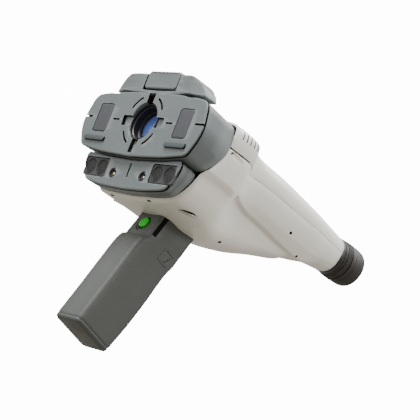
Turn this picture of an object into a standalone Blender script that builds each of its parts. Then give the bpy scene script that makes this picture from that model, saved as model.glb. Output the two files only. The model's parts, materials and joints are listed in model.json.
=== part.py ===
"""Handheld autorefractor: a pistol-shaped eye tester with a face plate, a viewing tube and a battery grip.

Run with: blender --background --python part.py
Units are metres, +Z is up and the grip stands on its flat base at z = 0.
The patient is at -Y, the operator at +Y.
"""
import math

import bmesh
import bpy
from mathutils import Matrix, Vector

# ---------------------------------------------------------------- driving dimensions
LEAN = math.radians(15.5)            # optical axis against the grip's square
PLATE_TILT = math.radians(4.8)       # face plate against the optical axis
BASE_TO_AXIS_BACK = 0.0351           # grip base centre behind the measuring window, along the optical axis
BASE_TO_AXIS_DOWN = 0.1854           # and below it
GAP = 0.0003                         # clearance between pieces that touch
REVEAL = 0.0010                      # open groove between the grey covers and the housing
WALL = 0.0022                        # moulded shell wall
SPLIT_Z = 0.0025                     # height of the joint between the upper and the lower housing

PLATE_HOLLOW = 0.215                 # forward rise of the plate, per square metre of half width
WINDOW_RADIUS = 0.0175
TUBE_END = 0.2585                    # end of the housing tube behind the window
EYE_RIM = 0.2940                     # rim of the eyecup behind the window

GRIP_HALF_WIDTH = 0.0180
GRIP_FRONT = -0.0208
GRIP_BACK = 0.0212
GRIP_SHOULDER = 0.0870               # top of the wide battery section
GRIP_BASE_THICK = 0.0040
BUTTON_HEIGHT = 0.1095
BUTTON_RADIUS = 0.0052

# ---------------------------------------------------------------- frames
# head: origin on the optical axis in the measuring window, +Y along the axis towards the operator
HEAD = Matrix.Rotation(LEAN, 4, "X") @ Matrix.Translation((0, -BASE_TO_AXIS_BACK, BASE_TO_AXIS_DOWN))
# plate: the same origin, leaning with the face plate
PLATE = HEAD @ Matrix.Rotation(PLATE_TILT, 4, "X")
GRIP = Matrix.Identity(4)
TURNED = Matrix.Rotation(math.radians(-90), 4, "X")   # lays a turned profile's axis along +Y

for old in list(bpy.data.objects):
    bpy.data.objects.remove(old, do_unlink=True)

PARTS = bpy.data.collections.new("autorefractor")
CUTTERS = bpy.data.collections.new("cutters")
bpy.context.scene.collection.children.link(PARTS)
bpy.context.scene.collection.children.link(CUTTERS)


# ---------------------------------------------------------------- materials
def finish(name, colour, roughness, metallic=0.0):
    material = bpy.data.materials.new(name)
    material.use_nodes = True
    shader = material.node_tree.nodes["Principled BSDF"]
    shader.inputs["Base Color"].default_value = (*colour, 1.0)
    shader.inputs["Roughness"].default_value = roughness
    shader.inputs["Metallic"].default_value = metallic
    material.diffuse_color = (*colour, 1.0)
    return material


FINISHES = {
    "grey": finish("cover_grey", (0.20, 0.23, 0.24), 0.50),
    "dark_grey": finish("grip_grey", (0.11, 0.115, 0.11), 0.60),
    "ivory": finish("housing_ivory", (0.80, 0.78, 0.70), 0.42),
    "black": finish("black_plastic", (0.015, 0.015, 0.016), 0.45),
    "pad": finish("pad_grey", (0.085, 0.09, 0.10), 0.75),
    "rubber": finish("eyecup_rubber", (0.025, 0.022, 0.020), 0.80),
    "glass": finish("coated_glass", (0.10, 0.14, 0.32), 0.05),
    "steel": finish("screw_steel", (0.55, 0.55, 0.55), 0.35, 1.0),
    "aluminium": finish("bench_aluminium", (0.70, 0.71, 0.72), 0.40, 1.0),
    "green": finish("button_green", (0.02, 0.50, 0.06), 0.40),
    "board": finish("circuit_board", (0.02, 0.16, 0.07), 0.50),
    "cell": finish("battery_wrap", (0.05, 0.06, 0.09), 0.55),
    "brass": finish("lead_screw_brass", (0.70, 0.52, 0.22), 0.35, 1.0),
}


# ---------------------------------------------------------------- modelling helpers
def place(mesh, name, frame, look, at=(0, 0, 0), smooth=None, collection=None):
    item = bpy.data.objects.new(name, mesh)
    (collection or PARTS).objects.link(item)
    item.matrix_world = frame @ Matrix.Translation(at)
    if look:
        mesh.materials.append(FINISHES[look])
    if smooth:
        mesh.shade_smooth()
        mesh.set_sharp_from_angle(angle=math.radians(smooth))
    return item


def mesh_from(build):
    shape = bmesh.new()
    build(shape)
    bmesh.ops.recalc_face_normals(shape, faces=shape.faces)
    mesh = bpy.data.meshes.new("shape")
    shape.to_mesh(mesh)
    shape.free()
    return mesh


def block(name, frame, look, size, at, bevel=0.0, tip=None, collection=None):
    """A box with its own turn (tip) about its centre."""
    def build(shape):
        bmesh.ops.create_cube(shape, size=1.0)
        bmesh.ops.scale(shape, vec=size, verts=shape.verts)
    item = place(mesh_from(build), name, frame, look, at, collection=collection)
    if tip:
        item.matrix_world = frame @ Matrix.Translation(at) @ tip
    if bevel:
        soften(item, bevel)
    return item


def soften(item, width, segments=2):
    edge = item.modifiers.new("edges", "BEVEL")
    edge.width = width
    edge.segments = segments
    edge.limit_method = "ANGLE"
    edge.angle_limit = math.radians(40)


def rod(name, frame, look, radius, length, at, axis="Y", sides=24, collection=None):
    """A round bar centred on at, along one axis of its frame."""
    turn = {"X": Matrix.Rotation(math.radians(90), 4, "Y"), "Y": Matrix.Rotation(math.radians(90), 4, "X"),
            "Z": Matrix.Identity(4)}[axis]
    def build(shape):
        bmesh.ops.create_cone(shape, cap_ends=True, segments=sides, radius1=radius,
                              radius2=radius, depth=length)
        bmesh.ops.transform(shape, matrix=turn, verts=shape.verts)
    return place(mesh_from(build), name, frame, look, at, smooth=40, collection=collection)


def turned(name, frame, look, profile, at=(0, 0, 0), steps=36):
    """A ring or knob about +Y from (radius, distance) pairs, outer side from its far end back."""
    mesh = bpy.data.meshes.new(name)
    points = [(radius, 0, along) for radius, along in profile]
    mesh.from_pydata(points, [(i, (i + 1) % len(points)) for i in range(len(points))], [])
    item = place(mesh, name, frame, look, at)
    item.matrix_world = frame @ Matrix.Translation(at) @ TURNED
    screw = item.modifiers.new("turn", "SCREW")
    screw.steps = steps
    screw.render_steps = steps
    screw.use_merge_vertices = True
    screw.merge_threshold = 0.00001
    screw.use_normal_calculate = False
    return item


def ring_profile(inner, outer, start, end):
    return [(outer, end), (outer, start), (inner, start), (inner, end)]


def cut(item, cutter):
    cutter.hide_render = True
    cutter.display_type = "WIRE"
    boolean = item.modifiers.new("cut_" + cutter.name, "BOOLEAN")
    boolean.operation = "DIFFERENCE"
    boolean.solver = "EXACT"
    boolean.object = cutter


def loft(rows, closed_rows, capped):
    """Faces between rows of points; a closed row joins up with itself."""
    def build(shape):
        grid = [[shape.verts.new(point) for point in row] for row in rows]
        count = len(rows[0])
        last = count if closed_rows else count - 1
        for one, two in zip(grid, grid[1:]):
            for i in range(last):
                j = (i + 1) % count
                shape.faces.new((one[i], one[j], two[j], two[i]))
        if capped:
            shape.faces.new(grid[0])
            shape.faces.new(list(reversed(grid[-1])))
    return mesh_from(build)


def shell(item, thickness=WALL):
    """Gives an open surface whose faces point outwards a wall on its inner side."""
    wall = item.modifiers.new("wall", "SOLIDIFY")
    wall.thickness = thickness
    wall.offset = -1.0
    wall.use_even_offset = True


def face_outwards(mesh, centre):
    """Turns an open surface so that its faces point away from centre."""
    total = sum((face.center - Vector(centre)).dot(face.normal) * face.area for face in mesh.polygons)
    if total < 0:
        mesh.flip_normals()


# ---------------------------------------------------------------- face plate
def plate_front(x, z):
    """Front of the upper cover in the head's frame, hollow across and leaning."""
    return -PLATE_HOLLOW * x * x - z * math.tan(PLATE_TILT)


def seam(z):
    """Distance behind the window of the joint between the grey covers and the housing, at height z."""
    if z > 0.005:
        return 0.0427
    if z > -0.027:
        return 0.0427 - 11.8 * (0.005 - z) ** 2
    return 0.0306 + 0.217 * (z + 0.027)


def drawn_in(x, y):
    """The covers' side walls draw in towards the housing."""
    return x * (1.0 - 3.3 * max(y, 0.0))


def cover_mesh(stations, front, inset=0.0, back_steps=6, reach=0.0, front_inset=0.0):
    """A cover's body from half-width stations (x, top, bottom): its back follows the seam."""
    both = [(-x, top, bottom) for x, top, bottom in reversed(stations) if x > 0] + list(stations)
    rows = []
    for x, top, bottom in both:
        x_in = x - math.copysign(min(inset, abs(x)), x) if x else 0.0
        top_in = top - inset
        bottom_in = bottom + inset
        row = [(x_in, front(x, top_in) + front_inset, top_in),
               (x_in, front(x, bottom_in) + front_inset, bottom_in)]
        for step in range(back_steps + 1):
            z = bottom_in + (top_in - bottom_in) * step / back_steps
            row.append((x_in, seam(z) + reach, z))
        rows.append([(drawn_in(px, py), py, pz) for px, py, pz in row])
    return loft(rows, True, True)


UPPER_STATIONS = [(0.0, 0.0265, -0.0330), (0.020, 0.0263, -0.0326), (0.045, 0.0250, -0.0312),
                  (0.062, 0.0235, -0.0296), (0.074, 0.0212, -0.0272), (0.0790, 0.0185, -0.0240),
                  (0.0818, 0.0100, -0.0190), (0.0835, 0.0030, -0.0130), (0.0845, -0.0010, -0.0070)]
LOWER_STATIONS = [(0.0, -0.0340, -0.0600), (0.020, -0.0336, -0.0598), (0.040, -0.0326, -0.0588),
                  (0.055, -0.0312, -0.0566), (0.0630, -0.0302, -0.0520), (0.0672, -0.0295, -0.0470),
                  (0.0690, -0.0292, -0.0400)]


def lower_front(x, z):
    return plate_front(x, z) + 0.0056


front_cover = place(cover_mesh(UPPER_STATIONS, plate_front), "front_cover", HEAD, "grey", smooth=35)
hollow = place(cover_mesh(UPPER_STATIONS, plate_front, inset=0.0025, reach=0.004, front_inset=0.003),
               "front_cover_hollow", HEAD, None, collection=CUTTERS)
cut(front_cover, hollow)
window_hole = rod("window_hole", PLATE, None, WINDOW_RADIUS, 0.02, (0, 0, 0), sides=48, collection=CUTTERS)
cut(front_cover, window_hole)

lower_cover = place(cover_mesh(LOWER_STATIONS, lower_front), "lower_front_cover", HEAD, "grey", smooth=35)
lower_hollow = place(cover_mesh(LOWER_STATIONS, lower_front, inset=0.0025, reach=0.004, front_inset=0.003),
                     "lower_cover_hollow", HEAD, None, collection=CUTTERS)
cut(lower_cover, lower_hollow)
# plate inlays: the dark face pads, the twin sensor windows and the aiming lamps
PAD = {"x": 0.0568, "size": (0.0186, 0.0016, 0.0264)}
SENSOR = {"x": 0.0478, "z": -0.0435, "y": 0.0058, "size": (0.0330, 0.0022, 0.0168)}
LAMP = {"x": 0.0213, "z": -0.0472, "y": 0.0045, "radius": 0.0043}


def plate_turn(x):
    """Turn about Z that lays an inlay along the hollow front at x."""
    return Matrix.Rotation(math.atan(-2 * PLATE_HOLLOW * x), 4, "Z")


for side, sign in (("left", -1), ("right", 1)):
    x = sign * PAD["x"]
    front_y = -PLATE_HOLLOW * x * x
    pocket = block(side + "_pad_pocket", PLATE, None, (0.0192, 0.0040, 0.0270), (x, front_y, 0.0),
                   tip=plate_turn(x), collection=CUTTERS)
    cut(front_cover, pocket)
    block(side + "_face_pad", PLATE, "pad", PAD["size"], (x, front_y + 0.0009, 0.0), bevel=0.0005,
          tip=plate_turn(x))

    x = sign * SENSOR["x"]
    sensor_y = SENSOR["y"] - PLATE_HOLLOW * x * x
    opening = block(side + "_sensor_opening", PLATE, None, (0.0336, 0.0090, 0.0174),
                    (x, sensor_y, SENSOR["z"]),
                    tip=plate_turn(x), collection=CUTTERS)
    cut(lower_cover, opening)
    block(side + "_sensor_frame", PLATE, "pad", SENSOR["size"], (x, sensor_y + 0.0012, SENSOR["z"]),
          bevel=0.0004, tip=plate_turn(x))
    for place_name, offset in (("inner", -0.0082), ("outer", 0.0082)):
        rod(f"{side}_{place_name}_sensor_mesh", PLATE, "black", 0.0072, 0.0004,
            (x + sign * offset, sensor_y - 0.0005, SENSOR["z"]), sides=24)

    x = sign * LAMP["x"]
    lamp_hole = rod(side + "_lamp_hole", PLATE, None, LAMP["radius"] + GAP, 0.02, (x, 0.005, LAMP["z"]),
                    collection=CUTTERS)
    cut(lower_cover, lamp_hole)
    turned(side + "_aiming_lamp", PLATE, "black",
           [(0.0043, 0.0120), (0.0043, 0.0055), (0.0020, 0.0070), (0.0, 0.0062), (0.0, 0.0120)],
           at=(x, 0.0, LAMP["z"]), steps=20)

# window: stepped bezel ring and the objective behind it
turned("window_bezel", HEAD, "black",
       [(0.0171, 0.0300), (0.0171, 0.0030), (0.0156, 0.0030), (0.0150, 0.0085), (0.0136, 0.0090),
        (0.0136, 0.0300)], steps=48)
turned("objective_lens", HEAD, "glass",
       [(0.0133, 0.0150), (0.0133, 0.0115), (0.0110, 0.0104), (0.0070, 0.0095), (0.0, 0.0090),
        (0.0, 0.0150)],
       steps=40)

# forehead rest: a block behind the plate's top edge and a pad that pulls out of it
REST_STATIONS = [(0.0, 0.0464), (0.020, 0.0464), (0.036, 0.0462), (0.043, 0.0450), (0.050, 0.0425),
                 (0.055, 0.0388), (0.0585, 0.0345), (0.0605, 0.0305)]
REST_BASE = 0.0272
REST_BACK = 0.0230


def rest_front(x):
    """The forehead rest is hollow in the middle and swept back at its ends."""
    x = abs(x)
    if x < 0.044:
        return 0.0046 - 2.2 * x * x
    return 0.0003 + 0.30 * (x - 0.044)


def rest_mesh():
    both = [(-x, top) for x, top in reversed(REST_STATIONS) if x > 0] + REST_STATIONS
    rows = []
    for x, top in both:
        base = REST_BASE + 0.0004
        rows.append([(x, rest_front(x) + 0.0006, base), (x, REST_BACK, base),
                     (x, REST_BACK, max(top - 0.0050, base + 0.0010)), (x, rest_front(x) + 0.0006, top)])
    return loft(rows, True, True)


rest_block = place(rest_mesh(), "forehead_rest_block", PLATE, "grey", smooth=30)
slot = block("rest_slot", PLATE, None, (0.0446, 0.0300, 0.0300), (0.0, 0.0090, 0.0466), collection=CUTTERS)
cut(rest_block, slot)
rest_pad = block("forehead_rest_pad", PLATE, "grey", (0.0440, 0.0180, 0.0165),
                 (0.0, 0.0105, 0.0403), bevel=0.0015)

# ---------------------------------------------------------------- housing
# upper half: distance behind the window, half width, height over the split, squareness of the section
UPPER_SECTIONS = [(None, 0.0712, 0.0245, 7.0), (0.0560, 0.0706, 0.0250, 7.0), (0.0690, 0.0695, 0.0250, 6.5),
                  (0.0780, 0.0650, 0.0250, 5.5), (0.0860, 0.0585, 0.0250, 4.6),
                  (0.0960, 0.0500, 0.0245, 4.0), (0.1080, 0.0450, 0.0240, 3.6),
                  (0.1250, 0.0430, 0.0240, 3.4), (0.1500, 0.0400, 0.0238, 3.2),
                  (0.1800, 0.0350, 0.0220, 3.0), (0.2100, 0.0308, 0.0195, 2.8),
                  (0.2350, 0.0250, 0.0178, 2.4),
                  (TUBE_END, 0.0188, 0.0163, 2.0)]
# lower half: distance behind the window, then (half width, height) from the split down to the middle
LOWER_SECTIONS = [
    (None, [(71.2, 2.2), (71.2, -12), (70.6, -24.5), (66.5, -30.5), (65, -45), (58, -58),
            (42, -63.5), (0, -65.5)]),
    (56.0, [(70.6, 2.2), (70.6, -12), (69.8, -24.5), (65.5, -30.5), (62, -46), (55, -58.5),
            (38, -64.5), (0, -67)]),
    (69.0, [(69.5, 2.2), (69.5, -12), (67.5, -24.5), (62, -32), (57, -47), (50, -59), (34, -65.5),
            (0, -68)]),
    (78.0, [(65, 2.2), (64.5, -12), (61, -24.5), (55.5, -34), (51, -48), (45, -59), (30, -66), (0, -68.5)]),
    (87.0, [(57.5, 2.2), (56.5, -12), (53, -24), (48.5, -34), (45, -47), (40, -59), (27, -66), (0, -68.8)]),
    (98.0, [(49, 2.2), (47.5, -11), (44.5, -22), (41.5, -33), (39, -46), (35, -58), (24, -65.5), (0, -68)]),
    (115.0, [(44.4, 2.2), (42.8, -10), (38.5, -21), (36, -30), (33.5, -41), (29.5, -53),
             (20, -61.5), (0, -65)]),
    (140.0, [(41.4, 2.2), (39.8, -10), (35, -22), (31.5, -28), (29.5, -37), (25.5, -47),
             (17, -55), (0, -58)]),
    (165.0, [(37.5, 2.2), (36, -10), (31, -24), (27, -29), (24.5, -34.5), (21, -40.5),
             (13, -45.5), (0, -47.5)]),
    (190.0, [(33.6, 2.2), (32, -10), (27.5, -24), (23, -29), (20, -32), (16, -34.8), (9, -36.8),
             (0, -37.6)]),
    (212.0, [(30.5, 2.2), (29, -10), (25, -22), (20.5, -27.6), (15.5, -28.4), (10.5, -28.7),
             (5, -28.8), (0, -28.8)]),
    (222.0, [(28, 2.2), (26.6, -10), (23, -19), (18.6, -24.2), (14, -25.4), (9.5, -25.8),
             (4.5, -26), (0, -26)]),
    (236.0, [(24.4, 2.2), (23.2, -8), (19.8, -14.6), (15, -18.6), (11, -20), (7.4, -20.6),
             (3.6, -20.8), (0, -20.9)]),
    (258.5, [(18.7, 2.2), (17.7, -6.5), (15.2, -11.2), (12, -14.6), (9, -16.6), (6, -18),
             (3, -18.7), (0, -18.9)])]


def corner(angle, power):
    """A point of a squared-off quarter round of radius 1."""
    return math.copysign(abs(angle) ** (2.0 / power), angle)


def upper_rows():
    rows = []
    for back, half, height, power in UPPER_SECTIONS:
        row = []
        for step in range(17):
            turn = math.pi * step / 16
            x = half * corner(math.cos(turn), power)
            z = SPLIT_Z + GAP + height * corner(math.sin(turn), power)
            row.append((x, seam(z) + REVEAL if back is None else back, z))
        rows.append(row)
    return rows


def lower_rows():
    rows = []
    for back, outline in LOWER_SECTIONS:
        points = [(half / 1000, z / 1000) for half, z in outline]
        whole = points + [(-half, z) for half, z in reversed(points[:-1])]
        rows.append([(x, seam(z) + REVEAL if back is None else back / 1000, z) for x, z in whole])
    return rows


for name, rows in (("upper_housing", upper_rows()), ("lower_housing", lower_rows())):
    surface = loft(rows, False, False)
    face_outwards(surface, (0, 0.10, SPLIT_Z))
    housing = place(surface, name, HEAD, "ivory", smooth=30)
    shell(housing)

for side, sign in (("left", -1), ("right", 1)):
    # strap eyelets: a steel pin stands proud, low on each flank of the housing
    rod(side + "_strap_pin", HEAD, "steel", 0.0016, 0.0180, (sign * 0.0500, 0.0480, -0.0630), sides=16)

# ---------------------------------------------------------------- eyepiece, all on the optical axis
turned("eyepiece_collar", HEAD, "black", ring_profile(0.0150, 0.0190, TUBE_END + GAP, 0.2640), steps=48)
ring_start = 0.2643
ring_end = 0.2790
turned("diopter_ring", HEAD, "black",
       [(0.0192, ring_end), (0.0202, ring_end - 0.0020), (0.0202, ring_start + 0.0070),
        (0.0192, ring_start + 0.0050),
        (0.0192, ring_start), (0.0138, ring_start), (0.0138, ring_end)], steps=48)
turned("eyecup", HEAD, "rubber",
       [(0.0160, EYE_RIM), (0.0184, EYE_RIM - 0.0020), (0.0196, EYE_RIM - 0.0060), (0.0198, ring_end + GAP),
        (0.0136, ring_end + GAP), (0.0142, EYE_RIM - 0.0040), (0.0150, EYE_RIM)], steps=48)
turned("eyepiece_sleeve", HEAD, "black", ring_profile(0.0112, 0.0133, 0.2300, 0.2780), steps=36)
turned("eyepiece_lens", HEAD, "glass",
       [(0.0108, 0.2760), (0.0108, 0.2720), (0.0, 0.2706), (0.0, 0.2774), (0.0060, 0.2770)], steps=32)

# ---------------------------------------------------------------- grip
GRIP_TOP_FRONT = 0.1165              # the grip meets the housing's belly along a plane that rises to the back
GRIP_TOP_BACK = 0.1262
NECK_FRONT = -0.0176                 # the neck with the measuring button stands back from the battery section


def grip_outline(front, back, half, front_round, back_round, steps=5):
    """Right half of the grip's level section, from the middle of its front to the middle of its back."""
    points = [(GAP / 2, front)]
    for step in range(steps + 1):
        turn = math.pi / 2 * step / steps
        points.append((half - front_round + front_round * math.sin(turn),
                       front + front_round - front_round * math.cos(turn)))
    for step in range(steps + 1):
        turn = math.pi / 2 * step / steps
        points.append((half - back_round + back_round * math.cos(turn),
                       back - back_round + back_round * math.sin(turn)))
    points.append((GAP / 2, back))
    return points


def grip_rows():
    sections = [(GRIP_BASE_THICK + GAP, GRIP_FRONT, 0.0040), (GRIP_SHOULDER - 0.0030, GRIP_FRONT, 0.0040),
                (GRIP_SHOULDER, GRIP_FRONT + 0.0008, 0.0040), (GRIP_SHOULDER + 0.0020, NECK_FRONT, 0.0050)]
    rows = []
    for height, front, front_round in sections:
        outline = grip_outline(front, GRIP_BACK, GRIP_HALF_WIDTH, front_round, 0.0095)
        rows.append([(x, y, height) for x, y in outline])
    outline = grip_outline(NECK_FRONT, GRIP_BACK + 0.0006, GRIP_HALF_WIDTH, 0.0060, 0.0095)
    slope = (GRIP_TOP_BACK - GRIP_TOP_FRONT) / (GRIP_BACK - GRIP_FRONT)
    rows.append([(x, y, GRIP_TOP_FRONT + slope * (y - GRIP_FRONT)) for x, y in outline])
    return rows


button_bore = rod("button_bore", GRIP, None, BUTTON_RADIUS + 0.0004, 0.0200, (0, NECK_FRONT, BUTTON_HEIGHT),
                  sides=32, collection=CUTTERS)
latch_slot = block("latch_slot", GRIP, None, (0.0200, 0.0112, 0.0202), (0.0220, 0.0085, 0.0980),
                   collection=CUTTERS)
for side, sign in (("left", -1), ("right", 1)):
    rows = [[(sign * x, y, z) for x, y, z in row] for row in grip_rows()]
    surface = loft(rows, False, False)
    face_outwards(surface, (0, 0, 0.06))
    half_shell = place(surface, side + "_grip_shell", GRIP, "dark_grey", smooth=30)
    shell(half_shell, 0.0025)
    cut(half_shell, button_bore)
    if side == "right":
        cut(half_shell, latch_slot)

# battery pack with its base cap, which slides down out of the grip
block("grip_base_cap", GRIP, "dark_grey", (0.0352, 0.0412, GRIP_BASE_THICK),
      (0, 0.0002, GRIP_BASE_THICK / 2),
      bevel=0.0012)
block("battery_pack", GRIP, "cell", (0.0270, 0.0310, 0.0700),
      (0, -0.0010, GRIP_BASE_THICK + GAP + 0.0350), bevel=0.0020)
block("battery_contacts", GRIP, "brass", (0.0160, 0.0100, 0.0040), (0, 0.0002, 0.0785), bevel=0.0004)
block("battery_latch", GRIP, "dark_grey", (0.0040, 0.0100, 0.0150), (0.0162, 0.0085, 0.0957), bevel=0.0006)

# measuring button: its stem runs through the return spring to the switch
BUTTON_FACE = NECK_FRONT - 0.0006
turned("measure_button", GRIP, "green",
       [(0.0016, 0.0132), (0.0016, 0.0066), (BUTTON_RADIUS, 0.0066), (BUTTON_RADIUS, 0.0007), (0.0044, 0.0),
        (0.0, -0.0003), (0.0, 0.0132)], at=(0, BUTTON_FACE, BUTTON_HEIGHT), steps=32)
turned("button_spring", GRIP, "steel", ring_profile(0.0021, 0.0030, 0.0090, 0.0126),
       at=(0, BUTTON_FACE, BUTTON_HEIGHT), steps=20)
block("button_switch", GRIP, "black", (0.0070, 0.0050, 0.0070),
      (0, BUTTON_FACE + 0.0181, BUTTON_HEIGHT), bevel=0.0003)
block("grip_tang", GRIP, "aluminium", (0.0240, 0.0100, 0.0300), (0, 0.0120, 0.1010), bevel=0.0006)

# ---------------------------------------------------------------- inside the head
BENCH_TOP = -0.0220
block("optical_bench", HEAD, "aluminium", (0.0480, 0.1060, 0.0040),
      (0, 0.0980, BENCH_TOP - 0.0020), bevel=0.0006)
block("front_bulkhead", HEAD, "aluminium", (0.1120, 0.0030, 0.0380), (0, 0.0352, -0.0015), bevel=0.0006)
block("main_board", HEAD, "board", (0.0600, 0.0500, 0.0016), (0, 0.0760, -0.0480))
turned("lens_barrel", HEAD, "black", ring_profile(0.0112, 0.0136, 0.0370, 0.0620), steps=36)
# the splitter sends half of the light up to the image sensor
holder = block("splitter_holder", HEAD, "black", (0.0340, 0.0060, 0.0390), (0, 0.0680, -0.0020),
               bevel=0.0005)
cut(holder, rod("holder_bore", HEAD, None, 0.0100, 0.0200, (0, 0.0680, 0), sides=32, collection=CUTTERS))
block("beam_splitter", HEAD, "glass", (0.0240, 0.0012, 0.0260), (0, 0.0860, 0.0),
      tip=Matrix.Rotation(math.radians(-45), 4, "X"))
block("image_sensor_board", HEAD, "board", (0.0340, 0.0320, 0.0016), (0, 0.0820, 0.0186))
turned("relay_lens", HEAD, "glass",
       [(0.0100, 0.1840), (0.0100, 0.1810), (0.0, 0.1800), (0.0, 0.1850)], steps=28)
turned("relay_mount", HEAD, "black", ring_profile(0.0104, 0.0130, 0.1780, 0.1870), steps=28)
block("light_source", HEAD, "black", (0.0150, 0.0120, 0.0120),
      (-0.0150, 0.0940, BENCH_TOP + 0.0064), bevel=0.0006)

# focusing carriage on two guide rods, driven by a lead screw and its motor
SCREW_Z = -0.0165
ROD_X = 0.0185
FIRST_SUPPORT = 0.1045
LAST_SUPPORT = 0.1480
for name, y in (("front_rod_support", FIRST_SUPPORT), ("rear_rod_support", LAST_SUPPORT)):
    support = block(name, HEAD, "aluminium", (0.0440, 0.0040, 0.0090), (0, y, BENCH_TOP + 0.0048),
                    bevel=0.0004)
    cut(support, rod(name + "_bore", HEAD, None, 0.0023, 0.0100, (0, y, SCREW_Z), sides=20,
                     collection=CUTTERS))
rod_length = LAST_SUPPORT - FIRST_SUPPORT - 0.0046
rod_y = (FIRST_SUPPORT + LAST_SUPPORT) / 2
for side, sign in (("left", -1), ("right", 1)):
    rod(side + "_guide_rod", HEAD, "steel", 0.0015, rod_length, (sign * ROD_X, rod_y, SCREW_Z), sides=16)
rod("lead_screw", HEAD, "brass", 0.0020, 0.0490, (0, 0.1262, SCREW_Z), sides=20)
rod("focus_motor", HEAD, "steel", 0.0050, 0.0130, (0, 0.0948, SCREW_Z), sides=24)
CARRIAGE_Y = 0.1190
carriage = block("focus_carriage", HEAD, "aluminium", (0.0440, 0.0100, 0.0090),
                 (0, CARRIAGE_Y, BENCH_TOP + 0.0052),
                 bevel=0.0005)
for name, x, radius in (("left_rod_bore", -ROD_X, 0.0019), ("right_rod_bore", ROD_X, 0.0019),
                        ("screw_bore", 0.0, 0.0024)):
    cut(carriage, rod(name, HEAD, None, radius, 0.0300, (x, CARRIAGE_Y, SCREW_Z), sides=20,
                      collection=CUTTERS))

# operator's panel on the back of the upper housing, with three keys that sink into it
PANEL_BASE = 0.0281
panel = block("control_panel", HEAD, "dark_grey", (0.0500, 0.0200, 0.0030),
              (0, 0.0800, PANEL_BASE + 0.0015),
              bevel=0.0004)
for name, x in (("mode", -0.0140), ("print", 0.0), ("power", 0.0140)):
    cut(panel, block(name + "_hole", HEAD, None, (0.0106, 0.0086, 0.0100),
                     (x, 0.0800, PANEL_BASE), collection=CUTTERS))
    block(name + "_button", HEAD, "grey", (0.0100, 0.0080, 0.0028),
          (x, 0.0800, PANEL_BASE + 0.0024), bevel=0.0005)
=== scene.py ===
import json
import math

import bmesh
import bpy
from mathutils import Matrix, Vector


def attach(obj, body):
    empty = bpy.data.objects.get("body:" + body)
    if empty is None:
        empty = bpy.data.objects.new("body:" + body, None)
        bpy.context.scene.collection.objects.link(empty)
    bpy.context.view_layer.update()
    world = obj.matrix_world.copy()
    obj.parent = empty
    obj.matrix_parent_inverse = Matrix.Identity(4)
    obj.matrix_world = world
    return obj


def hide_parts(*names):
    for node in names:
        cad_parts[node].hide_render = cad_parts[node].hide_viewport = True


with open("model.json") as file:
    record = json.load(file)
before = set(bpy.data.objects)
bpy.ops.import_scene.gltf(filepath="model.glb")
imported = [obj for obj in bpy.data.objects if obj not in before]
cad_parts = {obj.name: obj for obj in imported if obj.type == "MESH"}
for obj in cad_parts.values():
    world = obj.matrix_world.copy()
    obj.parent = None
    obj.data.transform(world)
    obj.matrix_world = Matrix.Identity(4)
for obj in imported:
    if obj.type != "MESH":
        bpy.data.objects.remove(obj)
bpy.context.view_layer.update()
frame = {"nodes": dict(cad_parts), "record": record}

mm = 0.001

# the head leans back on the grip, and its face plate leans a little more; +Y of the head is the optical axis
lean = math.radians(15.5)
plateTilt = math.radians(4.8)
headFrame = Matrix.Rotation(lean, 4, "X") @ Matrix.Translation((0, -0.0351, 0.1854))
plateFrame = headFrame @ Matrix.Rotation(plateTilt, 4, "X")
gripFrame = Matrix.Identity(4)
alongAxis = Matrix.Rotation(math.radians(-90), 4, "X")   # lays a turned profile's axis along +Y

pieceCollection = bpy.data.collections.new("autorefractorPieces")
bpy.context.scene.collection.children.link(pieceCollection)


# camera, floor and lights
cameraView = {
    "place": (1.0132, -0.6522, -0.3296),
    "right": (0.6322, 0.52587, 0.56901),
    "down": (0.09519, 0.67612, -0.73062),
    "forward": (-0.76893, 0.51606, 0.37738),
    "lens": 126.55,
    "sensor": 36.0,
}


def makeCamera(view):
    data = bpy.data.cameras.new("camera")
    data.lens = view["lens"]
    data.sensor_width = view["sensor"]
    data.clip_start = 0.05
    camera = bpy.data.objects.new("camera", data)
    bpy.context.scene.collection.objects.link(camera)
    right, down, forward = (Vector(view[key]) for key in ("right", "down", "forward"))
    turn = Matrix((right, -down, -forward)).transposed()
    camera.matrix_world = Matrix.Translation(view["place"]) @ turn.to_4x4()
    bpy.context.scene.camera = camera


stageLook = {"floorRadius": 9.0, "floorColour": (0.86, 0.86, 0.85), "sky": (1.0, 1.0, 1.0),
             "backdrop": 14.0, "ambient": 0.72, "aim": (0, 0.05, 0.17),
             "roomBelow": (0.20, (0.62, 0.57, 0.48, 1)), "roomAbove": (0.85, (1.0, 1.0, 1.0, 1))}
lights = [
    # name, place, size, watts, colour
    ("keyLight", (-0.10, -1.15, 1.20), 0.8, 43.0, (1.0, 1.0, 1.0)),
    ("fillLight", (-0.25, -1.30, 0.15), 0.9, 9.0, (0.97, 0.99, 1.0)),
    ("sideLight", (1.25, 0.25, 0.95), 0.8, 8.5, (1.0, 0.99, 0.97)),
    ("topLight", (0.25, 0.35, 1.55), 0.9, 22.0, (1.0, 1.0, 1.0)),
]


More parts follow.
